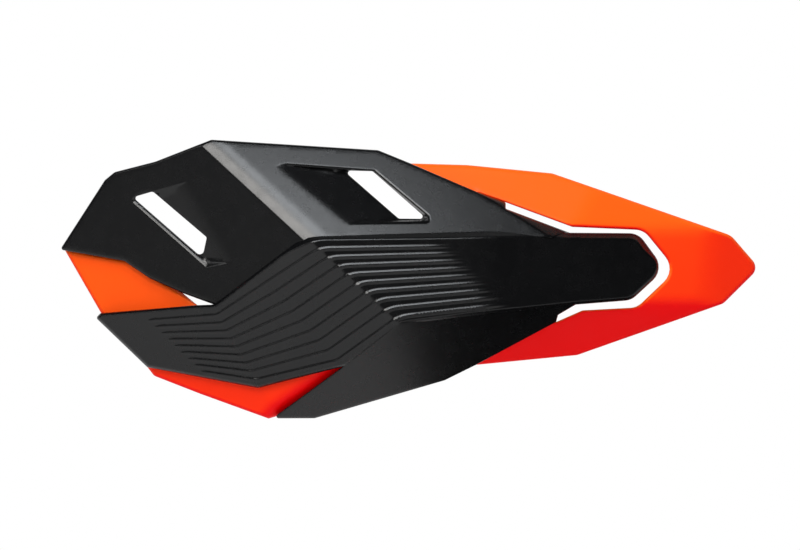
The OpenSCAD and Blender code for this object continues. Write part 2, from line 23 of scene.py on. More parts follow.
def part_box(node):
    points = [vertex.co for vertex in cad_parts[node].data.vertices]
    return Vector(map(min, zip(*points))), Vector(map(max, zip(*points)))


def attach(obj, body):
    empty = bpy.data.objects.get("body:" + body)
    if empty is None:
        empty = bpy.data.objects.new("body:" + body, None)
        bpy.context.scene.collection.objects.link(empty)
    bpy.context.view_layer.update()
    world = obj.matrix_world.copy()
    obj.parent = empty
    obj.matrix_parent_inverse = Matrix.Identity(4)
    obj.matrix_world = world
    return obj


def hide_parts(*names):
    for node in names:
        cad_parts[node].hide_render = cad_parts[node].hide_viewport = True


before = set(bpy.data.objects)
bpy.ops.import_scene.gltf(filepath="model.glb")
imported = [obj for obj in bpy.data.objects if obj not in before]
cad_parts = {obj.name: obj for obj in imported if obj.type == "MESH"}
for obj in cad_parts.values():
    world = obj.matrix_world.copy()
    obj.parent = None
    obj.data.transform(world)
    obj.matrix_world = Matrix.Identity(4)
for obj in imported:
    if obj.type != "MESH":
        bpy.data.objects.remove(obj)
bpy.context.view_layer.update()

log = logging.getLogger("hand_guard")

MM = 0.001
# From the bar's centre forward to the foremost point of the shields
REACH = 112.0
FRONT_WALL = 2.6
INNER_WALL = 2.4
SHIELD_GAP = 0.3
BODY = "root"

Rgb = tuple[float, float, float]
Corner = tuple[float, float]


def soft_max(a: np.ndarray, b: np.ndarray, bend: float) -> np.ndarray:
    """The larger of two depths, with the fold between them rolled back.

    Args:
        a: Depths of the first face.
        b: Depths of the second face.
        bend: Difference in depth within which the two faces blend.

    Returns:
        The blended depths.
    """
    top = np.maximum(a, b)
    if bend <= 0:
        return top
    return top + np.maximum(bend - np.abs(a - b), 0) ** 2 / (4 * bend)


def eased(t: np.ndarray) -> np.ndarray:
    """A smooth step from 0 to 1 as t runs from 0 to 1."""
    t = np.clip(t, 0, 1)
    return t * t * (3 - 2 * t)


def rolled(edge: np.ndarray, radius: float) -> np.ndarray:
    """How far a face drops at a distance from its edge, where it rolls over with a radius."""
    short = np.clip(radius - edge, 0, radius)
    return radius - np.sqrt(np.maximum(radius * radius - short * short, 0))


def beside_edge(edge: np.ndarray, width: float, step: float = 0.6) -> np.ndarray:
    """1 within a width beside an edge and 0 beyond it, with a short step between the two."""
    return 1 - eased((edge - width + step / 2) / step)


def linked(name: str, data: bpy.types.ID) -> bpy.types.Object:
    """A new object of a mesh, a lamp or a camera, linked to the scene."""
    made = bpy.data.objects.new(name, data)
    bpy.context.scene.collection.objects.link(made)
    return made


@dataclass(frozen=True)
class Line:
    """A line of points in the guard's front view, open or closed."""

    points: np.ndarray
    closed: bool = True

    ARC_STEPS: ClassVar[int] = 6
    # Share of a side that the arc at its end may take
    ARC_SHARE: ClassVar[float] = 0.48
    # What holds back the mitre of a very sharp corner
    LEAST_MITRE: ClassVar[float] = 0.3
    # Share of the distance beside the line that a kept point has at least
    BESIDE_SHARE: ClassVar[float] = 0.97

    @classmethod
    def through(cls, corners: Sequence[Corner], radii: Sequence[float] | float = 0.0,
                closed: bool = True) -> "Line":
        """A line through corners that are each rounded to a radius.

        Args:
            corners: The [x, z] corners, clockwise where the line is closed.
            radii: One radius for each corner, or one for all of them.
            closed: Whether the last corner joins the first.

        Returns:
            The line, with an arc at each rounded corner.
        """
        pts = [Vector(c) for c in corners]
        count = len(pts)
        each = [radii] * count if isinstance(radii, (int, float)) else list(radii)
        found: list[Vector] = []
        for i, radius in enumerate(each):
            if radius <= 0 or (not closed and i in (0, count - 1)):
                found.append(pts[i])
                continue
            found.extend(cls._arc(pts[i - 1], pts[i], pts[(i + 1) % count], radius))
        return cls(np.array([tuple(p) for p in found]), closed)

    @classmethod
    def _arc(cls, a: Vector, b: Vector, c: Vector, radius: float) -> list[Vector]:
        """Points of the arc that replaces corner b between a and c."""
        u = (a - b).normalized()
        v = (c - b).normalized()
        half = u.angle(v) / 2
        longest = cls.ARC_SHARE * min((a - b).length, (c - b).length)
        reach = min(radius / math.tan(half), longest)
        start = b + u * reach
        end = b + v * reach
        # A quadratic curve through the corner's two tangent points keeps close to the arc
        steps = cls.ARC_STEPS
        blend = [k / steps for k in range(steps + 1)]
        weight = math.sin(half)
        return [((1 - t) ** 2 * start + 2 * t * (1 - t) * weight * b + t * t * end)
                / ((1 - t) ** 2 + 2 * t * (1 - t) * weight + t * t) for t in blend]

    def ends(self) -> tuple[np.ndarray, np.ndarray]:
        """Start and end points of the line's segments."""
        if self.closed:
            return self.points, np.roll(self.points, -1, axis=0)
        return self.points[:-1], self.points[1:]

    def divided(self, pitch: float) -> "Line":
        """The same line with no step longer than the pitch."""
        starts, ends = self.ends()
        found = []
        for p, q in zip(starts, ends):
            steps = max(1, math.ceil(np.linalg.norm(q - p) / pitch))
            found.extend(p + (q - p) * k / steps for k in range(steps))
        if not self.closed:
            found.append(ends[-1])
        return Line(np.array(found), self.closed)

    def mitres(self) -> np.ndarray:
        """Vector at each point that moves the line sideways by one, to the right of its run."""
        starts, ends = self.ends()
        run = ends - starts
        run = run / np.linalg.norm(run, axis=1)[:, None]
        side = np.stack([run[:, 1], -run[:, 0]], axis=1)
        if self.closed:
            before, after = np.roll(side, 1, axis=0), side
        else:
            before = np.vstack([side[:1], side])
            after = np.vstack([side, side[-1:]])
        total = before + after
        return total / np.maximum(1 + np.sum(before * after, axis=1), self.LEAST_MITRE)[:, None]

    def moved(self, side: float) -> "Line":
        """The line moved sideways with mitred corners: inward where it is positive."""
        return Line(self.points + side * self.mitres(), self.closed)

    def beside(self, side: float) -> np.ndarray:
        """Points beside the line, without those that a corner brings nearer to it."""
        pts = self.points + side * self.mitres()
        if side == 0:
            return pts
        return pts[self.measure(pts)[0] >= self.BESIDE_SHARE * abs(side)]

    def measure(self, points: np.ndarray) -> tuple[np.ndarray, np.ndarray]:
        """Distance of points from the line, and how far along it each lies.

        Args:
            points: The [x, z] points to measure.

        Returns:
            The distance and the station along the line, one of each a point.
        """
        best = np.full(len(points), 1e9)
        station = np.zeros(len(points))
        passed = 0.0
        for p, q in zip(*self.ends()):
            run = q - p
            length = float(np.hypot(*run))
            if length < 1e-9:
                continue
            t = np.clip((points - p) @ run / length ** 2, 0, 1)
            off = points - p - t[:, None] * run
            gap = np.hypot(off[:, 0], off[:, 1])
            nearer = gap < best
            best[nearer] = gap[nearer]
            station[nearer] = passed + t[nearer] * length
            passed += length
        return best, station

    def length(self) -> float:
        """Length of the line."""
        starts, ends = self.ends()
        return float(np.linalg.norm(ends - starts, axis=1).sum())

    def holds(self, points: np.ndarray) -> np.ndarray:
        """Whether each point lies inside the closed line."""
        found = np.zeros(len(points), bool)
        x, z = points[:, 0], points[:, 1]
        for (px, pz), (qx, qz) in zip(*self.ends()):
            if pz == qz:
                continue
            crosses = (pz > z) != (qz > z)
            found ^= crosses & (x < (qx - px) * (z - pz) / (qz - pz) + px)
        return found


@dataclass(frozen=True)
class Facet:
    """A flat of a shield: its depth behind the foremost point at x, z, and its two slopes."""

    x: float
    z: float
    depth: float
    outboard: float
    upward: float

    def depth_at(self, points: np.ndarray) -> np.ndarray:
        """Depth of the facet at each [x, z] point."""
        return (self.depth + self.outboard * (points[:, 0] - self.x)
                + self.upward * (points[:, 1] - self.z))

    def sunk(self, wall: float) -> "Facet":
        """The same facet moved back along its normal."""
        return replace(self, depth=self.depth + wall * math.hypot(1, self.outboard, self.upward))

    def place(self, x: float, z: float) -> Vector:
        """The point of the facet at x, z."""
        return Vector((x, float(self.depth_at(np.array([[x, z]]))[0]) - REACH, z))

    def backward(self) -> Vector:
        """Normal of the facet that points back."""
        return Vector((-self.outboard, 1, -self.upward)).normalized()


@dataclass(frozen=True)
class Fold:
    """A face folded away from the front, as its facets and the bend at which each one joins."""

    facets: tuple[Facet, ...]
    bends: tuple[float, ...]

    # Width from which a fold needs no rows, and the least turn that counts as a fold
    WIDE: ClassVar[float] = 2.5
    LEAST_TURN: ClassVar[float] = 0.02
    # Least bend that rows are laid for, and how near the face a fold has to run
    LEAST_BEND: ClassVar[float] = 0.1
    NEAR: ClassVar[float] = 0.05

    def depth_at(self, points: np.ndarray) -> np.ndarray:
        """Depth of the face at each [x, z] point."""
        depth = self.facets[0].depth_at(points)
        for facet, bend in zip(self.facets[1:], self.bends[1:]):
            depth = soft_max(depth, facet.depth_at(points), bend)
        return depth

    def sunk(self, wall: float) -> "Fold":
        """The same face moved back along its normals."""
        return Fold(tuple(f.sunk(wall) for f in self.facets), self.bends)

    def joined(self, other: "Fold") -> "Fold":
        """This face with the facets of another one added."""
        return Fold(self.facets + other.facets, self.bends + other.bends)

    def rows(self, outline: Line, pitch: float) -> list[np.ndarray]:
        """Rows of points along the folds that show inside an outline.

        Args:
            outline: The panel's outline.
            pitch: Distance between the points of a row.

        Returns:
            One array of points for each row.
        """
        middle = outline.points.mean(axis=0)
        reach = float(np.ptp(outline.points, axis=0).max())
        along = np.arange(-reach, reach, pitch)
        found = []
        for j, second in enumerate(self.facets):
            for first in self.facets[:j]:
                slope = np.array([first.outboard - second.outboard, first.upward - second.upward])
                steep = float(np.hypot(*slope))
                if steep < self.LEAST_TURN:
                    continue
                gap = float((first.depth_at(middle[None]) - second.depth_at(middle[None]))[0])
                foot = middle - slope * gap / steep ** 2
                run = np.array([slope[1], -slope[0]]) / steep
                line = foot + along[:, None] * run
                near = np.abs(self.sharp(line) - first.depth_at(line)) < self.NEAR
                line = line[near & outline.holds(line)]
                half = max(self.bends[j], self.LEAST_BEND) / steep
                sides = (0,) if half > self.WIDE else (0, -half, half, -half / 2, half / 2)
                found.extend(line + side * slope / steep for side in sides if len(line))
        return found

    def sharp(self, points: np.ndarray) -> np.ndarray:
        """Depth of the face as if its folds were sharp."""
        return np.max([f.depth_at(points) for f in self.facets], axis=0)


UPPER_LEFT = Facet(17.7, 12.3, 2, -0.456, -0.012)
UPPER_RIGHT = Facet(17.7, 12.3, 2, 0.117, 0.61)
RIDGE_FLAT = Facet(17.7, 12.3, 3.1, -0.14, 0.33)
DROP = Facet(83.4, 29, 19.9, 0.643, 1.459)
WING = Facet(-18.5, -14.1, 13, -0.4, -0.333)
CLIMB = Facet(19.6, 9.6, 0, -0.199, -0.228)
BLADE = Facet(19.6, 9.6, 0, 0.1, 0.09)
BLADE_MID = Facet(87, 9.6, 6.7, 0.28, 0.09)
BLADE_END = Facet(122, 9.6, 16.5, 0.42, 0.09)
KEEL = Facet(53.2, -23.5, 2.9, 0.324, -0.983)
TIP_TOP = Facet(152, 11.8, 31.5, 0.42, 0.42)
TIP_MIDDLE = Facet(152, 0, 31.3, 0.45, 0.03)
TIP_BOTTOM = Facet(152, -14, 31.4, 0.45, -0.65)
TIP_END = Facet(172, 0, 40.3, 0.75, 0.03)

RIDGE_FOLD = Fold((UPPER_LEFT, RIDGE_FLAT, UPPER_RIGHT), (0, 0.15, 1.0))
RIBBED_FOLD = Fold((WING, CLIMB, BLADE, BLADE_MID, BLADE_END), (0, 0.25, 0.35, 0.9, 0.9))
KEEL_FOLD = Fold((KEEL,), (0,))
TIP_FOLD = Fold((TIP_MIDDLE, TIP_TOP, TIP_BOTTOM, TIP_END), (0, 1.0, 1.6, 1.8))
COVER_FOLD = RIDGE_FOLD.joined(RIBBED_FOLD).joined(KEEL_FOLD)


@dataclass
class Shape:
    """Points and faces of a mesh, in millimetres."""

    points: np.ndarray
    faces: list[tuple[int, ...]]

    @classmethod
    def joined(cls, shapes: Sequence["Shape"]) -> "Shape":
        """Several shapes as one."""
        offset = 0
        faces: list[tuple[int, ...]] = []
        for shape in shapes:
            faces.extend(tuple(i + offset for i in face) for face in shape.faces)
            offset += len(shape.points)
        return cls(np.vstack([s.points for s in shapes]), faces)

    @classmethod
    def turned(cls, profile: Sequence[Corner], base: Vector, axis: Vector,
               hollow: bool = False, sides: int = 40) -> "Shape":
        """A shape turned from a profile of radius and height.

        Args:
            profile: The [radius, height] pairs, from the base up on the outside.
            base: Where height 0 lies.
            axis: Direction in which the height runs.
            hollow: Whether the last pair joins the first, as it does on a ring.
            sides: Number of sides.

        Returns:
            The turned shape.
        """
        axis = axis.normalized()
        across = axis.orthogonal().normalized()
        other = axis.cross(across)
        points = []
        for radius, height in profile:
            for k in range(sides):
                turn = 2 * math.pi * k / sides
                spoke = math.cos(turn) * across + math.sin(turn) * other
                points.append(tuple(base + height * axis + radius * spoke))
        rings = len(profile)
        faces: list[tuple[int, ...]] = []
        for r in range(rings if hollow else rings - 1):
            up = (r + 1) % rings
            for k in range(sides):
                on = (k + 1) % sides
                faces.append((r * sides + k, r * sides + on, up * sides + on, up * sides + k))
        if not hollow:
            faces.append(tuple(range(sides - 1, -1, -1)))
            faces.append(tuple((rings - 1) * sides + k for k in range(sides)))
        return cls(np.array(points), faces)

    def as_object(self, name: str, sharp_from: float = 38.0) -> bpy.types.Object:
        """A smooth-shaded Blender object of the shape, in metres.

        Args:
            name: The object's name.
            sharp_from: Angle in degrees from which an edge is shaded sharp.

        Returns:
            The object, linked to the scene.
        """
        mesh = bpy.data.meshes.new(name)
        mesh.from_pydata((self.points * MM).tolist(), [], self.faces)
        mesh.validate()
        mesh.shade_smooth()
        mesh.set_sharp_from_angle(angle=math.radians(sharp_from))
        return linked(name, mesh)


class Sheet:
    """A triangulated sheet inside an outline, with rows of points that follow its features."""

    ROW_CLEARANCE: ClassVar[float] = 0.16
    BORDER_CLEARANCE: ClassVar[float] = 0.04
    # As a share of the pitch
    GRID_CLEARANCE: ClassVar[float] = 0.62

    def __init__(self, outline: Line, holes: Sequence[Line], pitch: float) -> None:
        """Starts the sheet from its edges.

        Args:
            outline: The sheet's outer edge.
            holes: The edges of its openings.
            pitch: Distance between points where no feature needs more of them.
        """
        self.outline = outline
        self.holes = list(holes)
        self.pitch = pitch
        self.points = [line.points for line in (outline, *holes)]

    def edge_distances(self, points: np.ndarray) -> tuple[np.ndarray, np.ndarray]:
        """Distance of points from the sheet's outer edge, and from its nearest hole."""
        far = [np.full(len(points), 1e9)]
        holes = [hole.measure(points)[0] for hole in self.holes]
        return self.outline.measure(points)[0], np.min(far + holes, axis=0)

    def keeps(self, points: np.ndarray) -> np.ndarray:
        """Whether each point lies on the sheet."""
        kept = self.outline.holds(points)
        for hole in self.holes:
            kept &= ~hole.holds(points)
        return kept

    def add(self, points: np.ndarray, clearance: float) -> None:
        """Adds points that lie on the sheet and no nearer than the clearance to earlier ones."""
        if not len(points):
            return
        points = points[self.keeps(points)]
        placed = np.vstack(self.points)
        tree = KDTree(len(placed))
        for i, (x, z) in enumerate(placed):
            tree.insert((x, z, 0), i)
        tree.balance()
        free = [tree.find((x, z, 0))[2] >= clearance for x, z in points]
        if any(free):
            self.points.append(points[np.array(free)])

    def add_border(self, offsets: Iterable[float], hole_offsets: Iterable[float]) -> None:
        """Adds rows beside the outer edge and beside the holes, at distances inside the sheet."""
        for offset in offsets:
            self.add(self.outline.beside(offset), self.BORDER_CLEARANCE)
        for offset in hole_offsets:
            for hole in self.holes:
                self.add(hole.beside(-offset), self.BORDER_CLEARANCE)

    def add_grid(self) -> None:
        """Fills the rest of the sheet with points in a triangular grid."""
        low = self.outline.points.min(axis=0)
        high = self.outline.points.max(axis=0)
        rows = np.arange(low[1], high[1], self.pitch * math.sqrt(3) / 2)
        found = []
        for i, z in enumerate(rows):
            row = np.arange(low[0] + (i % 2) * self.pitch / 2, high[0], self.pitch)
            found.append(np.stack([row, np.full(len(row), z)], axis=1))
        self.add(np.vstack(found), self.GRID_CLEARANCE * self.pitch)

    def triangles(self) -> tuple[np.ndarray, np.ndarray]:
        """Triangulates the sheet.

        Returns:
            The [x, z] points, and the triangles as three point numbers each.
        """
        loops = [len(line.points) for line in (self.outline, *self.holes)]
        edges = []
        start = 0
        for count in loops:
            edges.extend((start + k, start + (k + 1) % count) for k in range(count))
            start += count
        coords = [Vector((float(x), float(z))) for x, z in np.vstack(self.points)]
        verts, _, faces, _, _, _ = delaunay_2d_cdt(coords, edges, [], 0, 1e-5)
        points = np.array([tuple(v) for v in verts])
        tris = np.array([f for f in faces if len(f) == 3])
        tris = tris[self.keeps(points[tris].mean(axis=1))]
        a, b, c = (points[tris[:, k]] for k in range(3))
        area = ((b - a)[:, 0] * (c - a)[:, 1] - (b - a)[:, 1] * (c - a)[:, 0]) / 2
        tris = tris[np.abs(area) > 1e-6]
        used, renumbered = np.unique(tris, return_inverse=True)
        return points[used], renumbered.reshape(tris.shape)


@dataclass
class Panel:
    """A moulded wall between a front and a back that share one outline."""

    pitch: float = 1.3
    edge_pitch: float = 1.3
    # Radius of the roll at the front edge, and of the smaller one at the back
    front_roll: float = 0.9
    back_roll: float = 0.4
    # Radius of the roll at the front edge of the openings
    hole_roll: float = 0.9

    ROLL_STEPS: ClassVar[tuple[float, ...]] = (0.094, 0.357, 0.741, 1.0)
    LEAST_WALL: ClassVar[float] = 0.6

    def outline(self) -> Line:
        """The panel's outer edge."""
        raise NotImplementedError

    def holes(self) -> list[Line]:
        """The edges of the panel's openings."""
        return []

    def rows(self, outline: Line) -> list[np.ndarray]:
        """Rows of points that follow the panel's features."""
        return []

    def border(self) -> list[float]:
        """Distances from the edge at which further rows run."""
        return []

    def front(self, points: np.ndarray, edge: np.ndarray) -> np.ndarray:
        """Depth of the front face, before its edge is rolled."""
        raise NotImplementedError

    def back(self, points: np.ndarray, edge: np.ndarray) -> np.ndarray:
        """Depth of the back face, before its edge is rolled."""
        raise NotImplementedError

    def shape(self) -> Shape:
        """The panel as one closed shape."""
        outline = self.outline().divided(self.edge_pitch)
        holes = [hole.divided(self.edge_pitch) for hole in self.holes()]
        sheet = Sheet(outline, holes, self.pitch)
        sheet.add_border([step * self.front_roll for step in self.ROLL_STEPS] + self.border(),
                         [step * self.hole_roll for step in self.ROLL_STEPS] + self.border())
        for row in self.rows(outline):
            sheet.add(row, Sheet.ROW_CLEARANCE)
        sheet.add_grid()
        points, tris = sheet.triangles()
        outer, inner = sheet.edge_distances(points)
        edge = np.minimum(outer, inner)
        front = self.front(points, edge)
        back = np.maximum(self.back(points, edge), front + self.LEAST_WALL)
        front = front + np.maximum(rolled(outer, self.front_roll), rolled(inner, self.hole_roll))
        back = back - rolled(edge, self.back_roll)
        return self._closed(points, tris, front, back)

    @staticmethod
    def _closed(points: np.ndarray, tris: np.ndarray, front: np.ndarray,
                back: np.ndarray) -> Shape:
        """Joins the two faces by a wall round every edge.

        Args:
            points: The [x, z] points of both faces.
            tris: Their triangles.
            front: Depth of the front at each point.
            back: Depth of the back at each point.

        Returns:
            The closed shape.
        """
        count = len(points)
        a, b, c = (points[tris[:, k]] for k in range(3))
        turns = (b - a)[:, 0] * (c - a)[:, 1] - (b - a)[:, 1] * (c - a)[:, 0]
        tris = np.where((turns > 0)[:, None], tris, tris[:, ::-1])
        sides: dict[tuple[int, int], int] = {}
        for p, q in np.vstack([tris[:, (0, 1)], tris[:, (1, 2)], tris[:, (2, 0)]]).tolist():
            if (q, p) in sides:
                del sides[(q, p)]
            else:
                sides[(p, q)] = 1
        faces = [tuple(t) for t in tris.tolist()]
        faces += [tuple(i + count for i in reversed(t)) for t in tris.tolist()]
        faces += [(q, p, p + count, q + count) for p, q in sides]
        x, z = points[:, 0], points[:, 1]
        body = np.vstack([np.stack([x, front - REACH, z], axis=1),
                          np.stack([x, back - REACH, z], axis=1)])
        return Shape(body, faces)


@dataclass(frozen=True)
class Scoop:
    """An air scoop: a recess whose floor leaves the panel at a soft edge, with a vent in it."""

    # Corners of the recess, of which the first two end the soft edge
    recess: tuple[Corner, ...]
    vent: tuple[Corner, ...]
    slope: float = 0.25
    # How far inside the soft edge the floor has turned to its full slope
    turn: float = 3.0
    # Width and slope of the lip round the other edges, and slope of the wall inside it
    lip: float = 0.85
    lip_slope: float = 0.54
    wall_slope: float = 6.0
    # Length over which the wall rises to its full slope, past the soft edge's end
    fade: float = 11.0
    gentle_slope: float = 0.3
    vent_radii: tuple[float, ...] = (0.96, 1.6, 0.96, 1.6)
    corner_r: float = 1.6
    # Differences in depth over which the lip and the wall begin
    lip_bend: float = 0.1
    wall_bend: float = 0.4

    # Distances of the rows beside the hard edge, the soft one and the tub's edge
    HARD_ROWS: ClassVar[tuple[float, ...]] = (0, 0.2, 0.45, 0.7, 0.9, 1.2, -0.3)
    SOFT_ROWS: ClassVar[tuple[float, ...]] = (0, 1.0, 2.0, 3.0)
    TUB_ROWS: ClassVar[tuple[float, ...]] = (0, 0.9)

    def vent_line(self) -> Line:
        """Edge of the vent."""
        return Line.through(self.vent, self.vent_radii)

    def hard_line(self, grow: float = 0.0) -> Line:
        """The recess's edges other than the soft one."""
        loop = Line.through(self.recess).moved(-grow).points
        corners = [tuple(p) for p in np.vstack([loop[1:], loop[:1]])]
        return Line.through(corners, self.corner_r, closed=False)

    def drop(self, points: np.ndarray, grow: float = 0.0) -> np.ndarray:
        """How far the floor lies behind the panel.

        Args:
            points: The [x, z] points.
            grow: How much wider the recess is taken on every side, for the back of the wall.

        Returns:
            The extra depth at each point, which is zero outside the recess.
        """
        loop = Line.through(self.recess)
        start, end = loop.moved(-grow).points[:2]
        run = (end - start) / np.linalg.norm(end - start)
        far = np.maximum((points - loop.points[0]) @ np.array([run[1], -run[0]]), 0)
        floor = np.where(far < self.turn, far * far / (2 * self.turn), far - self.turn / 2)
        hard = self.hard_line(grow)
        inside = Line(hard.points).holds(points)
        gap, station = hard.measure(points)
        lip = soft_max(0 * gap, self.lip_slope * (gap - self.lip_bend),
                       self.lip_bend * self.lip_slope)
        wall = soft_max(lip, self.wall_slope * (gap - self.lip), self.wall_bend)
        gentle = self.gentle_slope * gap
        wall = gentle + (wall - gentle) * eased(station / self.fade)
        return np.where(inside, np.minimum(self.slope * floor, wall), 0)

    def rows(self, pitch: float) -> list[np.ndarray]:
        """Rows of points along the recess's lip, its soft edge and the tub behind it."""
        hard = self.hard_line().divided(pitch)
        soft = Line.through(self.recess[:2], closed=False).divided(pitch)
        tub = self.hard_line(FRONT_WALL).divided(pitch)
        wanted = ((hard, self.HARD_ROWS), (soft, self.SOFT_ROWS), (tub, self.TUB_ROWS))
        return [line.beside(side) for line, sides in wanted for side in sides]


@dataclass(frozen=True)
class Rib:
    """A low rib along a bent line, pointed at its inboard end and faded out at the other."""

    line: Line
    width: float = 2.0
    height: float = 0.44
    # Lengths over which it begins and ends
    run_in: float = 3.0
    run_out: float = 14.0
    # Share of the width that its point has, and how much sooner than the width it is at height
    point_w: float = 0.3
    point_rise: float = 1.6

    def rise(self, points: np.ndarray) -> np.ndarray:
        """How far the rib stands out of the panel at each point."""
        gap, station = self.line.measure(points)
        start = np.clip(station / self.run_in, 0, 1)
        end = eased((self.line.length() - station) / self.run_out)
        width = self.width * (self.point_w + (1 - self.point_w) * start)
        across = np.cos(np.clip(2 * gap / width, 0, 1) * math.pi / 2) ** 2
        return self.height * eased(start * self.point_rise) * end * across

    def rows(self, pitch: float) -> list[np.ndarray]:
        """Rows of points across the rib."""
        line = self.line.divided(pitch)
        half = self.width / 2
        return [line.beside(k * half / 3) for k in (0, -1, 1, -2, 2, -3, 3, -4.0, 4.0)]


@dataclass
class UpperPanel(Panel):
    """The two facets above the ribbed panel, each with an air scoop."""

    hole_roll: float = 0.25
    corners: tuple[Corner, ...] = (
        (-78.2, 7.1), (-60.8, 33.9), (-57, 37), (-41.2, 41), (-19.5, 49.4), (44.7, 45.4),
        (57.4, 40.2), (83.4, 29), (93.8, 25.3), (93.8, 22.8), (118.4, 13.6), (112, 11.6),
        (24, 10.6), (15.6, 8.4), (-16, -16), (-18.5, -14.1), (-30.6, -9.7), (-43.4, -4),
        (-53.2, 2.6),
    )
    left: Scoop = Scoop(
        recess=((-28.5, 33.3), (-10.4, 2.3), (-21.45, -0.05), (-52.0, 26.85)),
        vent=((-49.9, 27.3), (-42.2, 29.5), (-21.3, 11.8), (-23, 3.9)),
        turn=6.0, lip=1.0, wall_slope=2.2,
    )
    right: Scoop = Scoop(
        recess=((33, 16.6), (5, 39.3), (9.3, 40.5), (43.6, 38), (64.6, 20.4), (65, 17)),
        vent=((31.4, 37.5), (42.5, 37.3), (63.4, 18.9), (52.6, 19)),
        turn=1.2,
    )
    scoop_pitch: float = 0.9
    drop_bend: float = 0.5

    def face(self) -> Fold:
        """The ridge's facets and the steep edge towards the tip."""
        return RIDGE_FOLD.joined(Fold((DROP,), (self.drop_bend,)))

    def outline(self) -> Line:
        """The panel's outer edge."""
        radii = [0.9, 3, 3, 8, 2.5, 3, 8, 4, 1, 0.6, 0, 0, 0, 0, 0, 0, 2, 4, 2]
        return Line.through(self.corners, radii)

    def holes(self) -> list[Line]:
        """The two vents."""
        return [self.left.vent_line(), self.right.vent_line()]

    def rows(self, outline: Line) -> list[np.ndarray]:
        """Rows along the scoops and the folds."""
        return (self.left.rows(self.scoop_pitch) + self.right.rows(self.scoop_pitch)
                + self.face().rows(outline, self.pitch))

    def front(self, points: np.ndarray, edge: np.ndarray) -> np.ndarray:
        """The folded facets with the two scoops sunk in them."""
        depth = self.face().depth_at(points)
        return depth + self.left.drop(points) + self.right.drop(points)

    def back(self, points: np.ndarray, edge: np.ndarray) -> np.ndarray:
        """The inside of the wall, with the outsides of the two tubs."""
        depth = self.face().sunk(FRONT_WALL).depth_at(points)
        return (depth + self.left.drop(points, FRONT_WALL)
                + self.right.drop(points, FRONT_WALL))


@dataclass
class RibbedPanel(Panel):
    """The raised panel with its fan of ribs and the tongue at its outboard end."""

    front_roll: float = 0.5
    corners: tuple[Corner, ...] = (
        (-64.2, -19.2), (-62.4, -17.4), (-25, -14.3), (-18.5, -14.1), (17.4, 13.1), (68.5, 13.7),
        (106.5, 14.5), (118.4, 13.6), (145, 13.4), (155.2, -0.5), (142.2, -12.4),
        (120.7, -14.1), (84, -17.9), (53.6, -21.8), (32, -37.7), (-1.5, -46.2), (-44.3, -38.3),
    )
    first_rib: tuple[Corner, ...] = (
        (-44.5, -20.4), (-17.2, -18.3), (2, -5.7), (22.1, 7.4), (76, 8.4))
    last_rib: tuple[Corner, ...] = (
        (-24.2, -39.9), (-2.3, -43.2), (28.9, -35.8), (53.1, -18.6), (97.3, -13.6))
    rib_radii: tuple[float, ...] = (0, 6, 6, 14, 0)
    rib_count: int = 9
    rib_pitch: float = 1.3
    # Width of the sloping edge all round and beside the upper panel, its slope and its bend
    edge_w: float = 1.0
    ridge_edge_w: float = 2.3
    edge_slope: float = 1.5
    edge_bend: float = 0.45
    # Where the edge beside the upper panel begins to widen, and over what length
    widen_from: Corner = (6.0, 2.0)
    widen_over: Corner = (12.0, 6.0)
    # Gap between the skirt and the inner shield's side of the cover, and the drop's bend
    skirt_gap: float = 0.08
    drop_bend: float = 0.5
    # Where the tongue's own side walls begin, and how deep they run
    tongue_from: float = 114.0
    tongue_rim_h: float = 5.0

    def outline(self) -> Line:
        """The panel's outer edge, with the tongue's end rounded."""
        radii = [1.0, 0.8, 6, 4, 21, 0, 0, 0, 7, 7, 7, 3, 0, 12, 2, 2, 1.2]
        return Line.through(self.corners, radii)

    def ribs(self) -> list[Rib]:
        """The ribs, spread evenly from the first to the last."""
        first, last = np.array(self.first_rib), np.array(self.last_rib)
        found = []
        for i in range(self.rib_count):
            t = i / (self.rib_count - 1)
            bends = [tuple(p) for p in (1 - t) * first + t * last]
            found.append(Rib(Line.through(bends, self.rib_radii, closed=False)))
        return found

    def rows(self, outline: Line) -> list[np.ndarray]:
        """Rows along the ribs and the folds."""
        found = [row for rib in self.ribs() for row in rib.rows(self.rib_pitch)]
        return found + RIBBED_FOLD.rows(outline, self.pitch)

    def border(self) -> list[float]:
        """Rows along the sloping edge, and at the inner foot of the skirt."""
        return [0.75, 1.0, 1.25, 1.6, 1.9, 2.2, FRONT_WALL, FRONT_WALL + 0.4]

    def edge_fall(self, points: np.ndarray, edge: np.ndarray) -> np.ndarray:
        """How far the sloping edge lies behind the panel's face."""
        along, up = (eased((points[:, k] - self.widen_from[k]) / self.widen_over[k])
                     for k in (0, 1))
        width = self.edge_w + (self.ridge_edge_w - self.edge_w) * along * up
        return soft_max(0 * edge, self.edge_slope * (width - edge), self.edge_bend)

    def front(self, points: np.ndarray, edge: np.ndarray) -> np.ndarray:
        """The folded facets with the ribs on them and the sloping edge round them."""
        depth = RIBBED_FOLD.depth_at(points)
        rise = np.max([rib.rise(points) for rib in self.ribs()], axis=0)
        return depth - rise + self.edge_fall(points, edge)

    def back(self, points: np.ndarray, edge: np.ndarray) -> np.ndarray:
        """The inside of the wall, with the skirt that meets the panels beside it."""
        inside = RIBBED_FOLD.sunk(FRONT_WALL).depth_at(points)
        cover = COVER_FOLD.joined(Fold((DROP,), (self.drop_bend,))).sunk(FRONT_WALL)
        skirt = cover.sharp(points) + self.skirt_gap
        tongue = RIBBED_FOLD.sunk(self.tongue_rim_h).depth_at(points)
        skirt = np.where(points[:, 0] > self.tongue_from, tongue, skirt)
        return inside + (skirt - inside) * beside_edge(edge, FRONT_WALL)


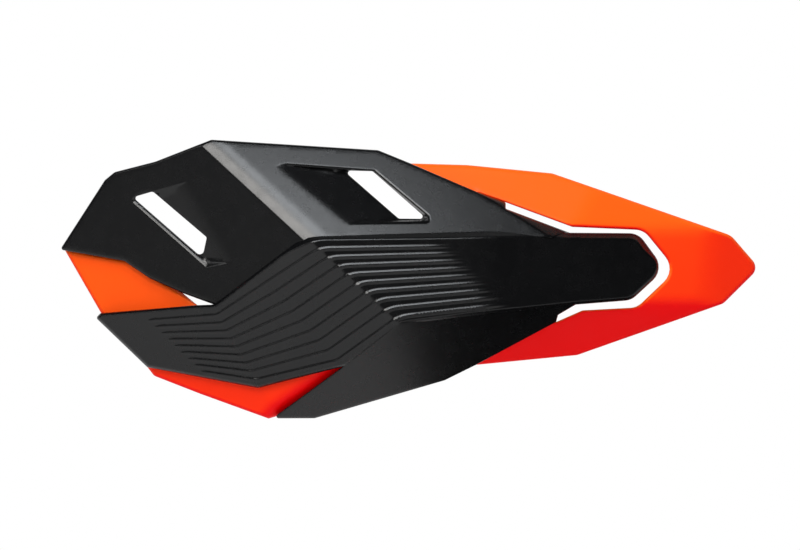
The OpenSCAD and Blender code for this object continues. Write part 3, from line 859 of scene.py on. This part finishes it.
@dataclass
class KeelPanel(Panel):
    """The facet that faces down below the ribbed panel."""

    corners: tuple[Corner, ...] = (
        (3.9, -57.9), (31.2, -37.9), (31.4, -36.6), (52.9, -20.6), (84, -16.6), (112, -13.6),
        (120.7, -14.1), (113.9, -18.1), (113.2, -20.8), (98.6, -28.6), (82.4, -37.3),
        (70.3, -43.3), (20.2, -57.9),
    )

    def outline(self) -> Line:
        """The panel's outer edge."""
        return Line.through(self.corners, [0.8, 0, 0, 0, 0, 0, 0, 1, 1, 4, 4, 3, 1.5])

    def front(self, points: np.ndarray, edge: np.ndarray) -> np.ndarray:
        """The one facet."""
        return KEEL_FOLD.depth_at(points)

    def back(self, points: np.ndarray, edge: np.ndarray) -> np.ndarray:
        """The inside of the wall."""
        return KEEL_FOLD.sunk(FRONT_WALL).depth_at(points)


@dataclass
class InnerPanel(Panel):
    """The wall of the inner shield, from the left corner to the tip, with its ring and windows."""

    pitch: float = 1.6
    edge_pitch: float = 1.4
    front_roll: float = 1.3
    hole_roll: float = 1.3
    corners: tuple[Corner, ...] = (
        (-76.3, 6.8), (-75.4, 8), (-59.6, 33), (-56.3, 35.8), (-40.8, 39.7), (-19.3, 48),
        (44.4, 44), (56, 39.6), (57.2, 40.3), (78.9, 39.7), (111.8, 36.5), (181, 12.6),
        (192, 0), (178, -13.7), (121.5, -33.6), (82.8, -37.3), (80, -36.9), (69.6, -41.9),
        (19.8, -56.4), (8, -56.4), (2.5, -58), (-23.9, -48.5), (-41.7, -41.6), (-44.9, -37.5),
        (-62.4, -17.2),
    )
    ring: tuple[Corner, ...] = (
        (83.4, 28.8), (94, 25.2), (119.4, 15.8), (147, 14.6), (159.6, -0.8), (144.4, -15.2),
        (123.4, -16.3), (113.2, -20.8), (104, -17.6), (86, -10), (80, 0), (80, 18),
    )
    left_window: tuple[Corner, ...] = (
        (-57.2, 11.8), (-22.6, -16.2), (-13.5, -16.2), (-7, -2), (-27, 36.2), (-54, 30.5),
        (-57.2, 22))
    # Bend beside the left window, with a chamfered lip beyond it, and then a fall
    lip: tuple[Corner, ...] = ((-76.2, 6.2), (-52.6, 2.0), (-25.4, -14.6))
    lip_slope: float = 1.05
    lip_w: float = 0.85
    lip_bend: float = 0.15
    fall_slope: float = 3.0
    fall_bend: float = 0.2
    lip_fall: float = 2.2
    # How far past the bend the face starts to come back, and over what length it does
    back_from: float = 4.0
    back_over: float = 4.0
    lip_until: float = -14.0
    keel_bend: float = 2.5
    tip_bend: float = 1.2
    # Width over which the face gives way under the front shield's steep edge
    cover_step: float = 0.8
    rim_h: float = 6.0
    window_grow: float = 3.2

    def outline(self) -> Line:
        """The shield's outer edge, with the tip rounded."""
        radii = [0, 0, 2, 2, 6, 3, 2, 0, 0, 4, 5, 7.2, 4, 4.8, 4, 2, 2, 3, 3, 3, 0.8, 5, 3, 3, 1.5]
        return Line.through(self.corners, radii)

    def holes(self) -> list[Line]:
        """The ring, and the windows behind the vents and at the left."""
        ring = Line.through(self.ring, [0, 0, 3, 7, 7, 7, 3, 1, 4, 4, 4, 4])
        left = Line.through(self.left_window, [1.0, 1, 1, 3, 3, 3, 3])
        right = Line.through(UpperPanel().right.recess).moved(-self.window_grow)
        return [ring, left, Line.through([tuple(p) for p in right.points], 2.0)]

    def face(self) -> Fold:
        """What the front follows: the front shield's back, and the facets of the tip."""
        cover = COVER_FOLD.sunk(FRONT_WALL + SHIELD_GAP)
        bends = cover.bends[:-1] + (self.keel_bend, self.tip_bend) + TIP_FOLD.bends[1:]
        return Fold(cover.facets + TIP_FOLD.facets, bends)

    def fall(self, points: np.ndarray) -> np.ndarray:
        """How far the face falls off beyond the bend beside the left window."""
        corners = [np.array(c) for c in self.lip]
        beyond = []
        for start, end in zip(corners, corners[1:]):
            run = (end - start) / np.linalg.norm(end - start)
            beyond.append((points - start) @ np.array([-run[1], run[0]]))
        past = np.max(beyond, axis=0)
        chamfer = soft_max(0 * past, self.lip_slope * past, self.lip_bend)
        steep = self.lip_slope * self.lip_w + self.fall_slope * (past - self.lip_w)
        fall = np.minimum(soft_max(chamfer, steep, self.fall_bend), self.lip_fall)
        kept = 1 - eased((past - self.back_from) / self.back_over)
        return fall * kept * (points[:, 0] < self.lip_until)

    def rows(self, outline: Line) -> list[np.ndarray]:
        """Rows along the folds and the bend beside the left window."""
        bend = Line.through(self.lip, closed=False).divided(1.0)
        return ([bend.beside(side) for side in (0, 0.25, -0.2, -0.6, -0.8, -1.0, -1.3)]
                + self.face().rows(outline, self.pitch))

    def border(self) -> list[float]:
        """Rows at the inner foot of the rim."""
        return [1.6, INNER_WALL - 0.3, INNER_WALL + 0.3]

    def front(self, points: np.ndarray, edge: np.ndarray) -> np.ndarray:
        """The folded face, which gives way to the front shield's steep edge."""
        depth = self.face().depth_at(points)
        over = UpperPanel().outline()
        under = eased(over.measure(points)[0] / self.cover_step)
        covered = np.where(over.holds(points), under, 0)
        drop = DROP.sunk(FRONT_WALL + SHIELD_GAP).depth_at(points)
        return depth + covered * np.maximum(drop - depth, 0) + self.fall(points)

    def back(self, points: np.ndarray, edge: np.ndarray) -> np.ndarray:
        """The inside of the wall, with the rim round the outer edge."""
        inside = self.face().sunk(INNER_WALL).depth_at(points)
        rim = self.face().sunk(self.rim_h).depth_at(points)
        outer = self.outline().measure(points)[0]
        return inside + (rim - inside) * beside_edge(outer, INNER_WALL)


@dataclass(frozen=True)
class ScrewPlace:
    """Where a shield screw goes: the facet that it stands square to, and its place."""

    facet: Facet
    x: float
    z: float

    def axis(self) -> Vector:
        """Direction from the front to the back."""
        return self.facet.backward()

    def at(self, depth: float) -> Vector:
        """The point on the screw's axis at a depth under the facet."""
        return self.facet.place(self.x, self.z) + depth * self.axis()


@dataclass
class Shields:
    """The two moulded shields and the bosses on them."""

    screws: tuple[ScrewPlace, ...] = (
        ScrewPlace(UPPER_LEFT, -66, 15), ScrewPlace(UPPER_LEFT, -30, 40.2),
        ScrewPlace(UPPER_RIGHT, 73.8, 20), ScrewPlace(WING, -20, -36),
        ScrewPlace(KEEL, 24, -50), ScrewPlace(KEEL, 62, -36),
    )
    pad_h: float = 2.0
    pad_r: float = 4.75
    boss_r: float = 3.2
    insert_boss_r: float = 7.5
    insert_r: float = 4.55
    insert_l: float = 9.1
    bolt_z: float = -10.0
    bolt_x: tuple[float, ...] = (6.0, 38.0)
    # How far a boss or a pad widens at its root, the break of its edge, and its draft hole
    root_w: float = 0.8
    root_h: float = 2.2
    pad_root_w: float = 0.5
    rim_edge: float = 0.4
    fine_edge: float = 0.3
    draft_r: float = 0.4

    def seat(self) -> float:
        """Depth of the screw heads' seat under the front face."""
        return FRONT_WALL + SHIELD_GAP + INNER_WALL + self.pad_h

    def screw_boss(self, place: ScrewPlace) -> Shape:
        """A boss on the front shield that a screw bites into."""
        start = FRONT_WALL / 2
        top = self.seat() - 0.1 - start
        edge = self.fine_edge
        profile = [(self.boss_r, 0), (self.boss_r, top - edge), (self.boss_r - edge, top)]
        return Shape.turned(profile, place.at(start), place.axis())

    def insert_boss(self, x: float, foot_y: float) -> Shape:
        """A boss on the front shield that holds a threaded insert for the arm's foot."""
        front_y = float(RIBBED_FOLD.sunk(FRONT_WALL / 2).depth_at(
            np.array([[x, self.bolt_z]]))[0]) - REACH
        top = foot_y - front_y
        outer, inner = self.insert_boss_r, self.insert_r
        floor = top - self.insert_l
        rim, edge, draft = self.rim_edge, self.fine_edge, self.draft_r
        profile = [(outer + self.root_w, 0), (outer, self.root_h), (outer, top - rim),
                   (outer - rim, top), (inner + edge, top), (inner, top - edge),
                   (inner, floor), (draft, floor), (draft, 0)]
        shape = Shape.turned(profile, Vector((x, front_y, self.bolt_z)), Vector((0, 1, 0)),
                             hollow=True)
        middle = RIBBED_FOLD.sunk(FRONT_WALL / 2).depth_at(shape.points[:, (0, 2)]) - REACH
        shape.points[:, 1] = np.maximum(shape.points[:, 1], middle)
        return shape

    def pad(self, place: ScrewPlace) -> Shape:
        """A pad on the inner shield under a screw's head."""
        start = self.seat() - self.pad_h - INNER_WALL / 2
        top = self.seat() - start
        radius, root, edge = self.pad_r, self.pad_root_w, self.fine_edge
        low = INNER_WALL / 2 - 0.1
        profile = [(radius + root, low), (radius, INNER_WALL / 2 + root), (radius, top - edge),
                   (radius - edge, top), (self.boss_r, top), (self.boss_r, low)]
        return Shape.turned(profile, place.at(start), place.axis(), hollow=True)

    def front_shield(self) -> bpy.types.Object:
        """The front shield: its three panels and its bosses, as one piece."""
        foot_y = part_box("mount_arm")[0].y / MM
        shapes = [UpperPanel().shape(), RibbedPanel().shape(), KeelPanel().shape()]
        shapes += [self.screw_boss(place) for place in self.screws]
        shapes += [self.insert_boss(x, foot_y) for x in self.bolt_x]
        return Shape.joined(shapes).as_object("front_shield_moulding")

    def inner_shield(self) -> bpy.types.Object:
        """The inner shield with the pads for its screws, as one piece."""
        shapes = [InnerPanel().shape()] + [self.pad(place) for place in self.screws]
        return Shape.joined(shapes).as_object("inner_shield_moulding")

    def build(self) -> None:
        """Builds both shields, dresses them and puts them in place of their nodes."""
        fit(self.front_shield(), SHIELD_BLACK, "front_shield")
        fit(self.inner_shield(), SHIELD_ORANGE, "inner_shield")


class Tree:
    """A material's or a world's node tree, with short calls to add and join nodes."""

    def __init__(self, tree: bpy.types.NodeTree) -> None:
        """Empties the tree.

        Args:
            tree: The node tree to fill.
        """
        self.tree = tree
        tree.nodes.clear()

    def node(self, kind: str, **settings: object) -> bpy.types.Node:
        """Adds a node.

        Args:
            kind: The node's type, without its ShaderNode prefix.
            **settings: Properties of the node to set.

        Returns:
            The node.
        """
        made = self.tree.nodes.new("ShaderNode" + kind)
        for name, value in settings.items():
            setattr(made, name, value)
        return made

    def join(self, output: bpy.types.NodeSocket, target: bpy.types.NodeSocket) -> None:
        """Links an output to an input."""
        self.tree.links.new(output, target)

    def mixed(self, share: bpy.types.NodeSocket, first: bpy.types.Node,
              second: bpy.types.Node) -> bpy.types.Node:
        """A mix of two shaders, which is the second where the share is 1."""
        made = self.node("MixShader")
        for i, output in enumerate((share, first.outputs[0], second.outputs[0])):
            self.join(output, made.inputs[i])
        return made

    def noise(self, pitch: float, detail: float = 2.0, roughness: float = 0.5) -> bpy.types.Node:
        """Noise in the object's own space, whose cells measure about the pitch in millimetres."""
        place = self.node("TexCoord")
        made = self.node("TexNoise")
        made.inputs["Scale"].default_value = 1 / (pitch * MM)
        made.inputs["Detail"].default_value = detail
        made.inputs["Roughness"].default_value = roughness
        self.join(place.outputs["Object"], made.inputs["Vector"])
        return made

    def ranged(self, value: bpy.types.NodeSocket, source: tuple[float, float],
               target: tuple[float, float], kind: str = "SMOOTHSTEP") -> bpy.types.NodeSocket:
        """A value mapped from one range to another, held within it."""
        made = self.node("MapRange", interpolation_type=kind)
        for name, limit in zip(("From Min", "From Max", "To Min", "To Max"), source + target):
            made.inputs[name].default_value = limit
        self.join(value, made.inputs["Value"])
        return made.outputs["Result"]

    def ramp(self, value: bpy.types.NodeSocket, stops: Sequence[Rgb]) -> bpy.types.NodeSocket:
        """Colours spread evenly over a value that runs from 0 to 1."""
        made = self.node("ValToRGB")
        elements = made.color_ramp.elements
        while len(elements) < len(stops):
            elements.new(0.5)
        for i, stop in enumerate(stops):
            elements[i].position = i / (len(stops) - 1)
            elements[i].color = (*stop, 1)
        self.join(value, made.inputs["Fac"])
        return made.outputs["Color"]


def new_material(name: str) -> tuple[bpy.types.Material, Tree, bpy.types.Node]:
    """A new material, its node tree and the skin in it, joined to the tree's output."""
    made = bpy.data.materials.new(name)
    made.use_nodes = True
    tree = Tree(made.node_tree)
    skin = tree.node("BsdfPrincipled")
    tree.join(skin.outputs["BSDF"], tree.node("OutputMaterial").inputs["Surface"])
    return made, tree, skin


class Grain(Enum):
    """How a surface was finished, as the pitch and the depth of its grain in millimetres."""

    SPARKED = (0.35, 0.012)
    MOULDED = (0.6, 0.02)
    BLASTED = (0.28, 0.02)
    DRAWN = (0.5, 0.006)


@dataclass(frozen=True)
class Finish:
    """A finish with two tones, a grain and a roughness that wanders over the surface."""

    name: str
    slot: str
    tone: Rgb
    other_tone: Rgb
    roughness: tuple[float, float]
    grain: Grain
    metallic: float = 0.0
    mottle: float = 9.0
    specular: float = 0.5

    GRAIN_STRENGTH: ClassVar[float] = 0.6

    def material(self) -> bpy.types.Material:
        """The finish as a procedural material, made once."""
        known = bpy.data.materials.get(self.name)
        if known:
            return known
        made, tree, skin = new_material(self.name)
        skin.inputs["Metallic"].default_value = self.metallic
        skin.inputs["Specular IOR Level"].default_value = self.specular
        self.colour(tree, skin)
        blotch = tree.noise(self.mottle / 3, detail=4)
        tree.join(tree.ranged(blotch.outputs["Fac"], (0.3, 0.7), self.roughness),
                  skin.inputs["Roughness"])
        pitch, depth = self.grain.value
        bump = tree.node("Bump")
        bump.inputs["Distance"].default_value = depth * MM
        bump.inputs["Strength"].default_value = self.GRAIN_STRENGTH
        grain = tree.noise(pitch, detail=3)
        tree.join(grain.outputs["Fac"], bump.inputs["Height"])
        tree.join(bump.outputs["Normal"], skin.inputs["Normal"])
        return made

    def colour(self, tree: Tree, skin: bpy.types.Node) -> None:
        """Joins the two tones, mixed by a slow mottle, to the skin's colour."""
        blotch = tree.noise(self.mottle, detail=3)
        share = tree.ranged(blotch.outputs["Fac"], (0.35, 0.65), (0.0, 1.0))
        tree.join(tree.ramp(share, (self.tone, self.other_tone)), skin.inputs["Base Color"])

    def dress(self, piece: bpy.types.Object) -> None:
        """Puts the finish on a piece."""
        piece.data.materials.clear()
        piece.data.materials.append(self.material())


@dataclass(frozen=True)
class ShadePaintedFinish(Finish):
    """A finish with painted light and shade: its tone turns with the way the surface faces, a lit
    orange on the top and a painted-shade red on the underside.
    """

    # Painted shade: the deep red of surfaces that face down, away from the lamps
    painted_shade_tone: Rgb = (0.97, 0.0, 0.001)
    # Direction that the painted-lit full tone faces, and how far along it the tones turn to the
    # painted shade
    painted_lit_side: tuple[float, float, float] = (-0.35, 0.0, 1.0)
    turn: tuple[float, float] = (-0.55, 0.25)

    def colour(self, tree: Tree, skin: bpy.types.Node) -> None:
        """Joins the tones, mixed by how far the surface faces the painted lit side, to the skin,
        which paints light on the top and shade on the underside.
        """
        surface = tree.node("NewGeometry")
        facing = tree.node("VectorMath", operation="DOT_PRODUCT")
        tree.join(surface.outputs["Normal"], facing.inputs[0])
        facing.inputs[1].default_value = self.painted_lit_side
        share = tree.ranged(facing.outputs["Value"], self.turn, (0.0, 1.0), "LINEAR")
        tones = (self.painted_shade_tone, self.other_tone, self.tone)
        tree.join(tree.ramp(share, tones), skin.inputs["Base Color"])


SHIELD_BLACK = Finish("satin_black_plastic", "shield_black", (0.0025, 0.0026, 0.003),
                      (0.0032, 0.0033, 0.0037), (0.25, 0.28), Grain.SPARKED, mottle=14,
                      specular=0.45)
# Painted light and shade on the orange: a yellower tone where it faces up, a red one where it
# faces down
SHIELD_ORANGE = ShadePaintedFinish("orange_plastic", "shield_orange", (1.0, 0.115, 0.004),
                            (1.0, 0.028, 0.001), (0.36, 0.42), Grain.SPARKED, mottle=20,
                            specular=0.12)
ARM_NYLON = Finish("filled_nylon", "arm_nylon", (0.011, 0.011, 0.012), (0.017, 0.017, 0.018),
                   (0.48, 0.6), Grain.MOULDED, mottle=5)
CLAMP_ALLOY = Finish("blasted_alloy", "clamp_alloy", (0.62, 0.63, 0.65), (0.54, 0.55, 0.57),
                     (0.36, 0.48), Grain.BLASTED, metallic=1.0, mottle=6)
SLEEVE_NYLON = Finish("sleeve_nylon", "sleeve_nylon", (0.012, 0.012, 0.013),
                      (0.02, 0.02, 0.021), (0.5, 0.6), Grain.MOULDED, mottle=4)
ZINC_STEEL = Finish("zinc_steel", "zinc_steel", (0.68, 0.68, 0.66), (0.58, 0.6, 0.62),
                    (0.22, 0.34), Grain.DRAWN, metallic=1.0, mottle=2.5)
SCREW_BLACK = Finish("blackened_steel", "screw_black", (0.055, 0.055, 0.058),
                     (0.035, 0.035, 0.038), (0.3, 0.42), Grain.DRAWN, metallic=1.0, mottle=2)
INSERT_BRASS = Finish("turned_brass", "insert_brass", (0.83, 0.56, 0.22), (0.72, 0.47, 0.18),
                      (0.24, 0.36), Grain.DRAWN, metallic=1.0, mottle=3)


@dataclass
class Hardware:
    """The arm, the clamp and the fasteners, copied from the frame with their edges broken."""

    finishes: dict[str, Finish] = field(default_factory=lambda: {
        "mount_arm": ARM_NYLON, "pivot_bush": ZINC_STEEL,
        "clamp_body": CLAMP_ALLOY, "clamp_cap": CLAMP_ALLOY,
        "bar_sleeve_front": SLEEVE_NYLON, "bar_sleeve_rear": SLEEVE_NYLON,
        "pivot_bolt": ZINC_STEEL, "pivot_nut": ZINC_STEEL,
        "upper_pivot_washer": ZINC_STEEL, "lower_pivot_washer": ZINC_STEEL,
        "upper_clamp_screw": ZINC_STEEL, "lower_clamp_screw": ZINC_STEEL,
        "upper_clamp_nut": ZINC_STEEL, "lower_clamp_nut": ZINC_STEEL,
        "inboard_insert": INSERT_BRASS, "outboard_insert": INSERT_BRASS,
        "inboard_arm_bolt": SCREW_BLACK, "outboard_arm_bolt": SCREW_BLACK,
        "inboard_arm_washer": ZINC_STEEL, "outboard_arm_washer": ZINC_STEEL,
        "inboard_shield_screw": SCREW_BLACK, "top_shield_screw": SCREW_BLACK,
        "middle_shield_screw": SCREW_BLACK, "wing_shield_screw": SCREW_BLACK,
        "bottom_shield_screw": SCREW_BLACK, "lower_shield_screw": SCREW_BLACK,
    })
    # Width of the broken edge, for the big pieces and for all others
    wide_edge: dict[str, float] = field(default_factory=lambda: {
        "mount_arm": 0.8, "clamp_body": 0.7, "clamp_cap": 0.7})
    fine_edge: float = 0.22
    # Angles in degrees from which an edge is broken, and from which it is shaded sharp
    sharp_from: float = 28.0
    shaded_from: float = 40.0

    def copy(self, node: str) -> bpy.types.Object:
        """A copy of a node with its edges broken.

        Args:
            node: The node's name.

        Returns:
            The copy, linked to the scene.
        """
        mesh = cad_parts[node].data.copy()
        shape = bmesh.new()
        shape.from_mesh(mesh)
        bmesh.ops.remove_doubles(shape, verts=shape.verts, dist=1e-6)
        bmesh.ops.dissolve_limit(shape, angle_limit=math.radians(1.0), verts=shape.verts,
                                 edges=shape.edges)
        crisp = [e for e in shape.edges if len(e.link_faces) == 2
                 and e.calc_face_angle(0) > math.radians(self.sharp_from)]
        bmesh.ops.bevel(shape, geom=crisp, offset=self.wide_edge.get(node, self.fine_edge) * MM,
                        offset_type="OFFSET", segments=2, profile=0.5, affect="EDGES",
                        clamp_overlap=True)
        bmesh.ops.triangulate(shape, faces=[f for f in shape.faces if len(f.verts) > 4])
        shape.to_mesh(mesh)
        shape.free()
        mesh.shade_smooth()
        mesh.set_sharp_from_angle(angle=math.radians(self.shaded_from))
        return linked(node + "_piece", mesh)

    def build(self) -> None:
        """Copies every node, dresses the copy and puts it in the node's place."""
        for node, finish in self.finishes.items():
            fit(self.copy(node), finish, node)


def fit(piece: bpy.types.Object, finish: Finish, *nodes: str) -> None:
    """Dresses a piece, puts it on the body and lets it stand for its nodes.

    Args:
        piece: The piece.
        finish: What its surface is finished with.
        *nodes: The nodes that it replaces.
    """
    finish.dress(piece)
    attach(piece, BODY)
    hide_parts(*nodes)
    log.info("%s: %d faces, stands for %s", piece.name, len(piece.data.polygons), ", ".join(nodes))


@dataclass(frozen=True)
class Lamp:
    """A soft rectangular lamp aimed at the guard."""

    name: str
    # Place and size in metres
    place: tuple[float, float, float]
    size: tuple[float, float]
    # How bright it looks, where 1 is white
    level: float
    colour: Rgb = (1, 1, 1)
    in_gloss: bool = True

    def place_in_scene(self, target: Vector) -> bpy.types.Object:
        """Makes the lamp.

        Args:
            target: What it is aimed at, in metres.

        Returns:
            The lamp, linked to the scene.
        """
        data = bpy.data.lights.new(self.name, "AREA")
        data.shape = "RECTANGLE"
        data.size, data.size_y = self.size
        data.energy = self.level * math.pi * self.size[0] * self.size[1]
        data.color = self.colour
        made = linked(self.name, data)
        made.location = self.place
        made.visible_glossy = self.in_gloss
        aim = target - made.location
        made.rotation_euler = aim.to_track_quat("-Z", "Y").to_euler()
        return made


@dataclass
class Studio:
    """A white studio with a soft lamp above, a key at the upper left and a dark front."""

    # Where the camera looks, and the width of its view there, in millimetres
    aim_x: float = 53.1
    aim_y: float = -90.0
    aim_z: float = -2.7
    view_w: float = 308.0
    distance: float = 8000.0
    sensor: float = 36.0
    # How far the camera sees, in metres
    clip_end: float = 100.0
    floor_z: float = -160.0
    floor_half: float = 2400.0
    ambient: float = 0.56
    # Directions between which gloss sees the back and the left turn bright, and their levels
    back_from: tuple[float, float] = (0.3, 0.8)
    back_level: tuple[float, float] = (0.008, 1.0)
    left_from: tuple[float, float] = (-0.35, -0.95)
    left_level: tuple[float, float] = (0.0, 0.025)
    # How much brighter the camera sees the floor than it is lit
    floor_glow: float = 0.42
    floor_tones: tuple[Rgb, Rgb] = ((0.74, 0.74, 0.74), (0.71, 0.71, 0.715))
    # Tones of the dark card, a sheet that only reflections see, which paints shade into them
    card_tones: tuple[Rgb, Rgb] = ((0.01, 0.01, 0.01), (0.014, 0.014, 0.014))
    # Roughness of both, and the pitch of their speckle in millimetres
    matt: float = 0.9
    speckle: float = 30.0
    lamps: tuple[Lamp, ...] = (
        Lamp("top_softbox", (0.04, -0.372, 0.381), (0.18, 0.17), 10.0, (0.92, 0.96, 1.0)),
        Lamp("key_softbox", (-0.28, -1.19, 0.83), (0.48, 0.4), 13.5, (1.0, 0.98, 0.95)),
        Lamp("wing_softbox", (-0.67, -0.55, 0.41), (0.34, 0.2), 2.5),
        Lamp("left_card", (-1.1, -0.9, 0.05), (0.5, 0.9), 0.1),
        Lamp("rear_softbox", (0.3, 1.3, 0.75), (0.7, 0.5), 7.0, in_gloss=False),
    )
    # Corners of the dark card below the guard, which paints a dark reflection of the floor into
    # the facets that face down
    card_low: tuple[float, float, float] = (96.0, -250.0, -155.0)
    card_high: tuple[float, float, float] = (350.0, 200.0, -155.0)

    def camera(self) -> bpy.types.Object:
        """The camera, square to the shields as the photograph was taken."""
        made = bpy.data.cameras.new("camera")
        made.sensor_width = self.sensor
        made.lens = self.sensor * self.distance / self.view_w
        made.clip_end = self.clip_end
        eye = linked("camera", made)
        eye.location = Vector((self.aim_x, self.aim_y - self.distance, self.aim_z)) * MM
        eye.rotation_euler = (math.pi / 2, 0, 0)
        bpy.context.scene.camera = eye
        return eye

    def light(self) -> None:
        """Places the lamps."""
        target = Vector((self.aim_x, -REACH, 0)) * MM
        for lamp in self.lamps:
            lamp.place_in_scene(target)
            log.info("%s: level %g", lamp.name, lamp.level)

    def plate(self, name: str, low: Vector, high: Vector, tones: tuple[Rgb, Rgb],
              glow: float = 0.0) -> bpy.types.Object:
        """A level plate of the studio, with a faint speckle.

        Args:
            name: The plate's name.
            low: Its lower corner, in millimetres.
            high: Its upper corner.
            tones: The two tones of its speckle.
            glow: How much brighter the camera sees it than it is lit.

        Returns:
            The plate.
        """
        corners = [(low.x, low.y, low.z), (high.x, low.y, low.z), (high.x, high.y, low.z),
                   (low.x, high.y, low.z)]
        plate = Shape(np.array(corners), [(0, 1, 2, 3)]).as_object(name)
        made, tree, skin = new_material(name)
        skin.inputs["Roughness"].default_value = self.matt
        skin.inputs["Specular IOR Level"].default_value = 0.1
        speck = tree.noise(self.speckle, detail=4)
        share = tree.ranged(speck.outputs["Fac"], (0.3, 0.7), (0, 1))
        tree.join(tree.ramp(share, tones), skin.inputs["Base Color"])
        path = tree.node("LightPath")
        skin.inputs["Emission Color"].default_value = (1, 1, 1, 1)
        tree.join(tree.ranged(path.outputs["Is Camera Ray"], (0, 1), (0, glow)),
                  skin.inputs["Emission Strength"])
        plate.data.materials.append(made)
        return plate

    def floor(self) -> None:
        """A pale floor below the guard, and a dark card on it that only gloss sees, a painted dark
        reflection in the facets that face down.
        """
        half = self.floor_half
        self.plate("pale_floor", Vector((-half, -half, self.floor_z)),
                   Vector((half, half, self.floor_z)), self.floor_tones, self.floor_glow)
        card = self.plate("dark_card", Vector(self.card_low), Vector(self.card_high),
                          self.card_tones)
        card.visible_camera = card.visible_diffuse = card.visible_shadow = False

    def world(self) -> None:
        """A white surround, which gloss sees as a studio with a dark front."""
        world = bpy.data.worlds.new("studio")
        bpy.context.scene.world = world
        world.use_nodes = True
        world.cycles.sampling_method = "NONE"
        tree = Tree(world.node_tree)
        path = tree.node("LightPath")
        place = tree.node("TexCoord")
        parts = tree.node("SeparateXYZ")
        tree.join(place.outputs["Generated"], parts.inputs["Vector"])
        back = tree.ranged(parts.outputs["Y"], self.back_from, self.back_level)
        left = tree.ranged(parts.outputs["X"], self.left_from, self.left_level)
        level = tree.node("Math", operation="ADD")
        tree.join(back, level.inputs[0])
        tree.join(left, level.inputs[1])
        plain = tree.node("Background")
        plain.inputs["Strength"].default_value = self.ambient
        studio = tree.node("Background")
        tree.join(level.outputs[0], studio.inputs["Strength"])
        white = tree.node("Background")
        for shade in (plain, studio, white):
            shade.inputs["Color"].default_value = (1, 1, 1, 1)
        gloss = tree.node("Math", operation="MAXIMUM")
        tree.join(path.outputs["Is Glossy Ray"], gloss.inputs[0])
        tree.join(path.outputs["Is Transmission Ray"], gloss.inputs[1])
        inner = tree.mixed(gloss.outputs[0], plain, studio)
        outer = tree.mixed(path.outputs["Is Camera Ray"], inner, white)
        tree.join(outer.outputs[0], tree.node("OutputWorld").inputs["Surface"])

    def build(self) -> None:
        """Sets up the whole studio."""
        self.camera()
        self.world()
        self.light()
        self.floor()
        bpy.context.scene.view_settings.view_transform = "Standard"


def main() -> None:
    """Builds the studio, the shields and the hardware, and reports each piece."""
    logging.basicConfig(level=logging.INFO, format="%(name)s: %(message)s")
    Studio().build()
    Shields().build()
    Hardware().build()


if __name__ == "__main__":
    main()
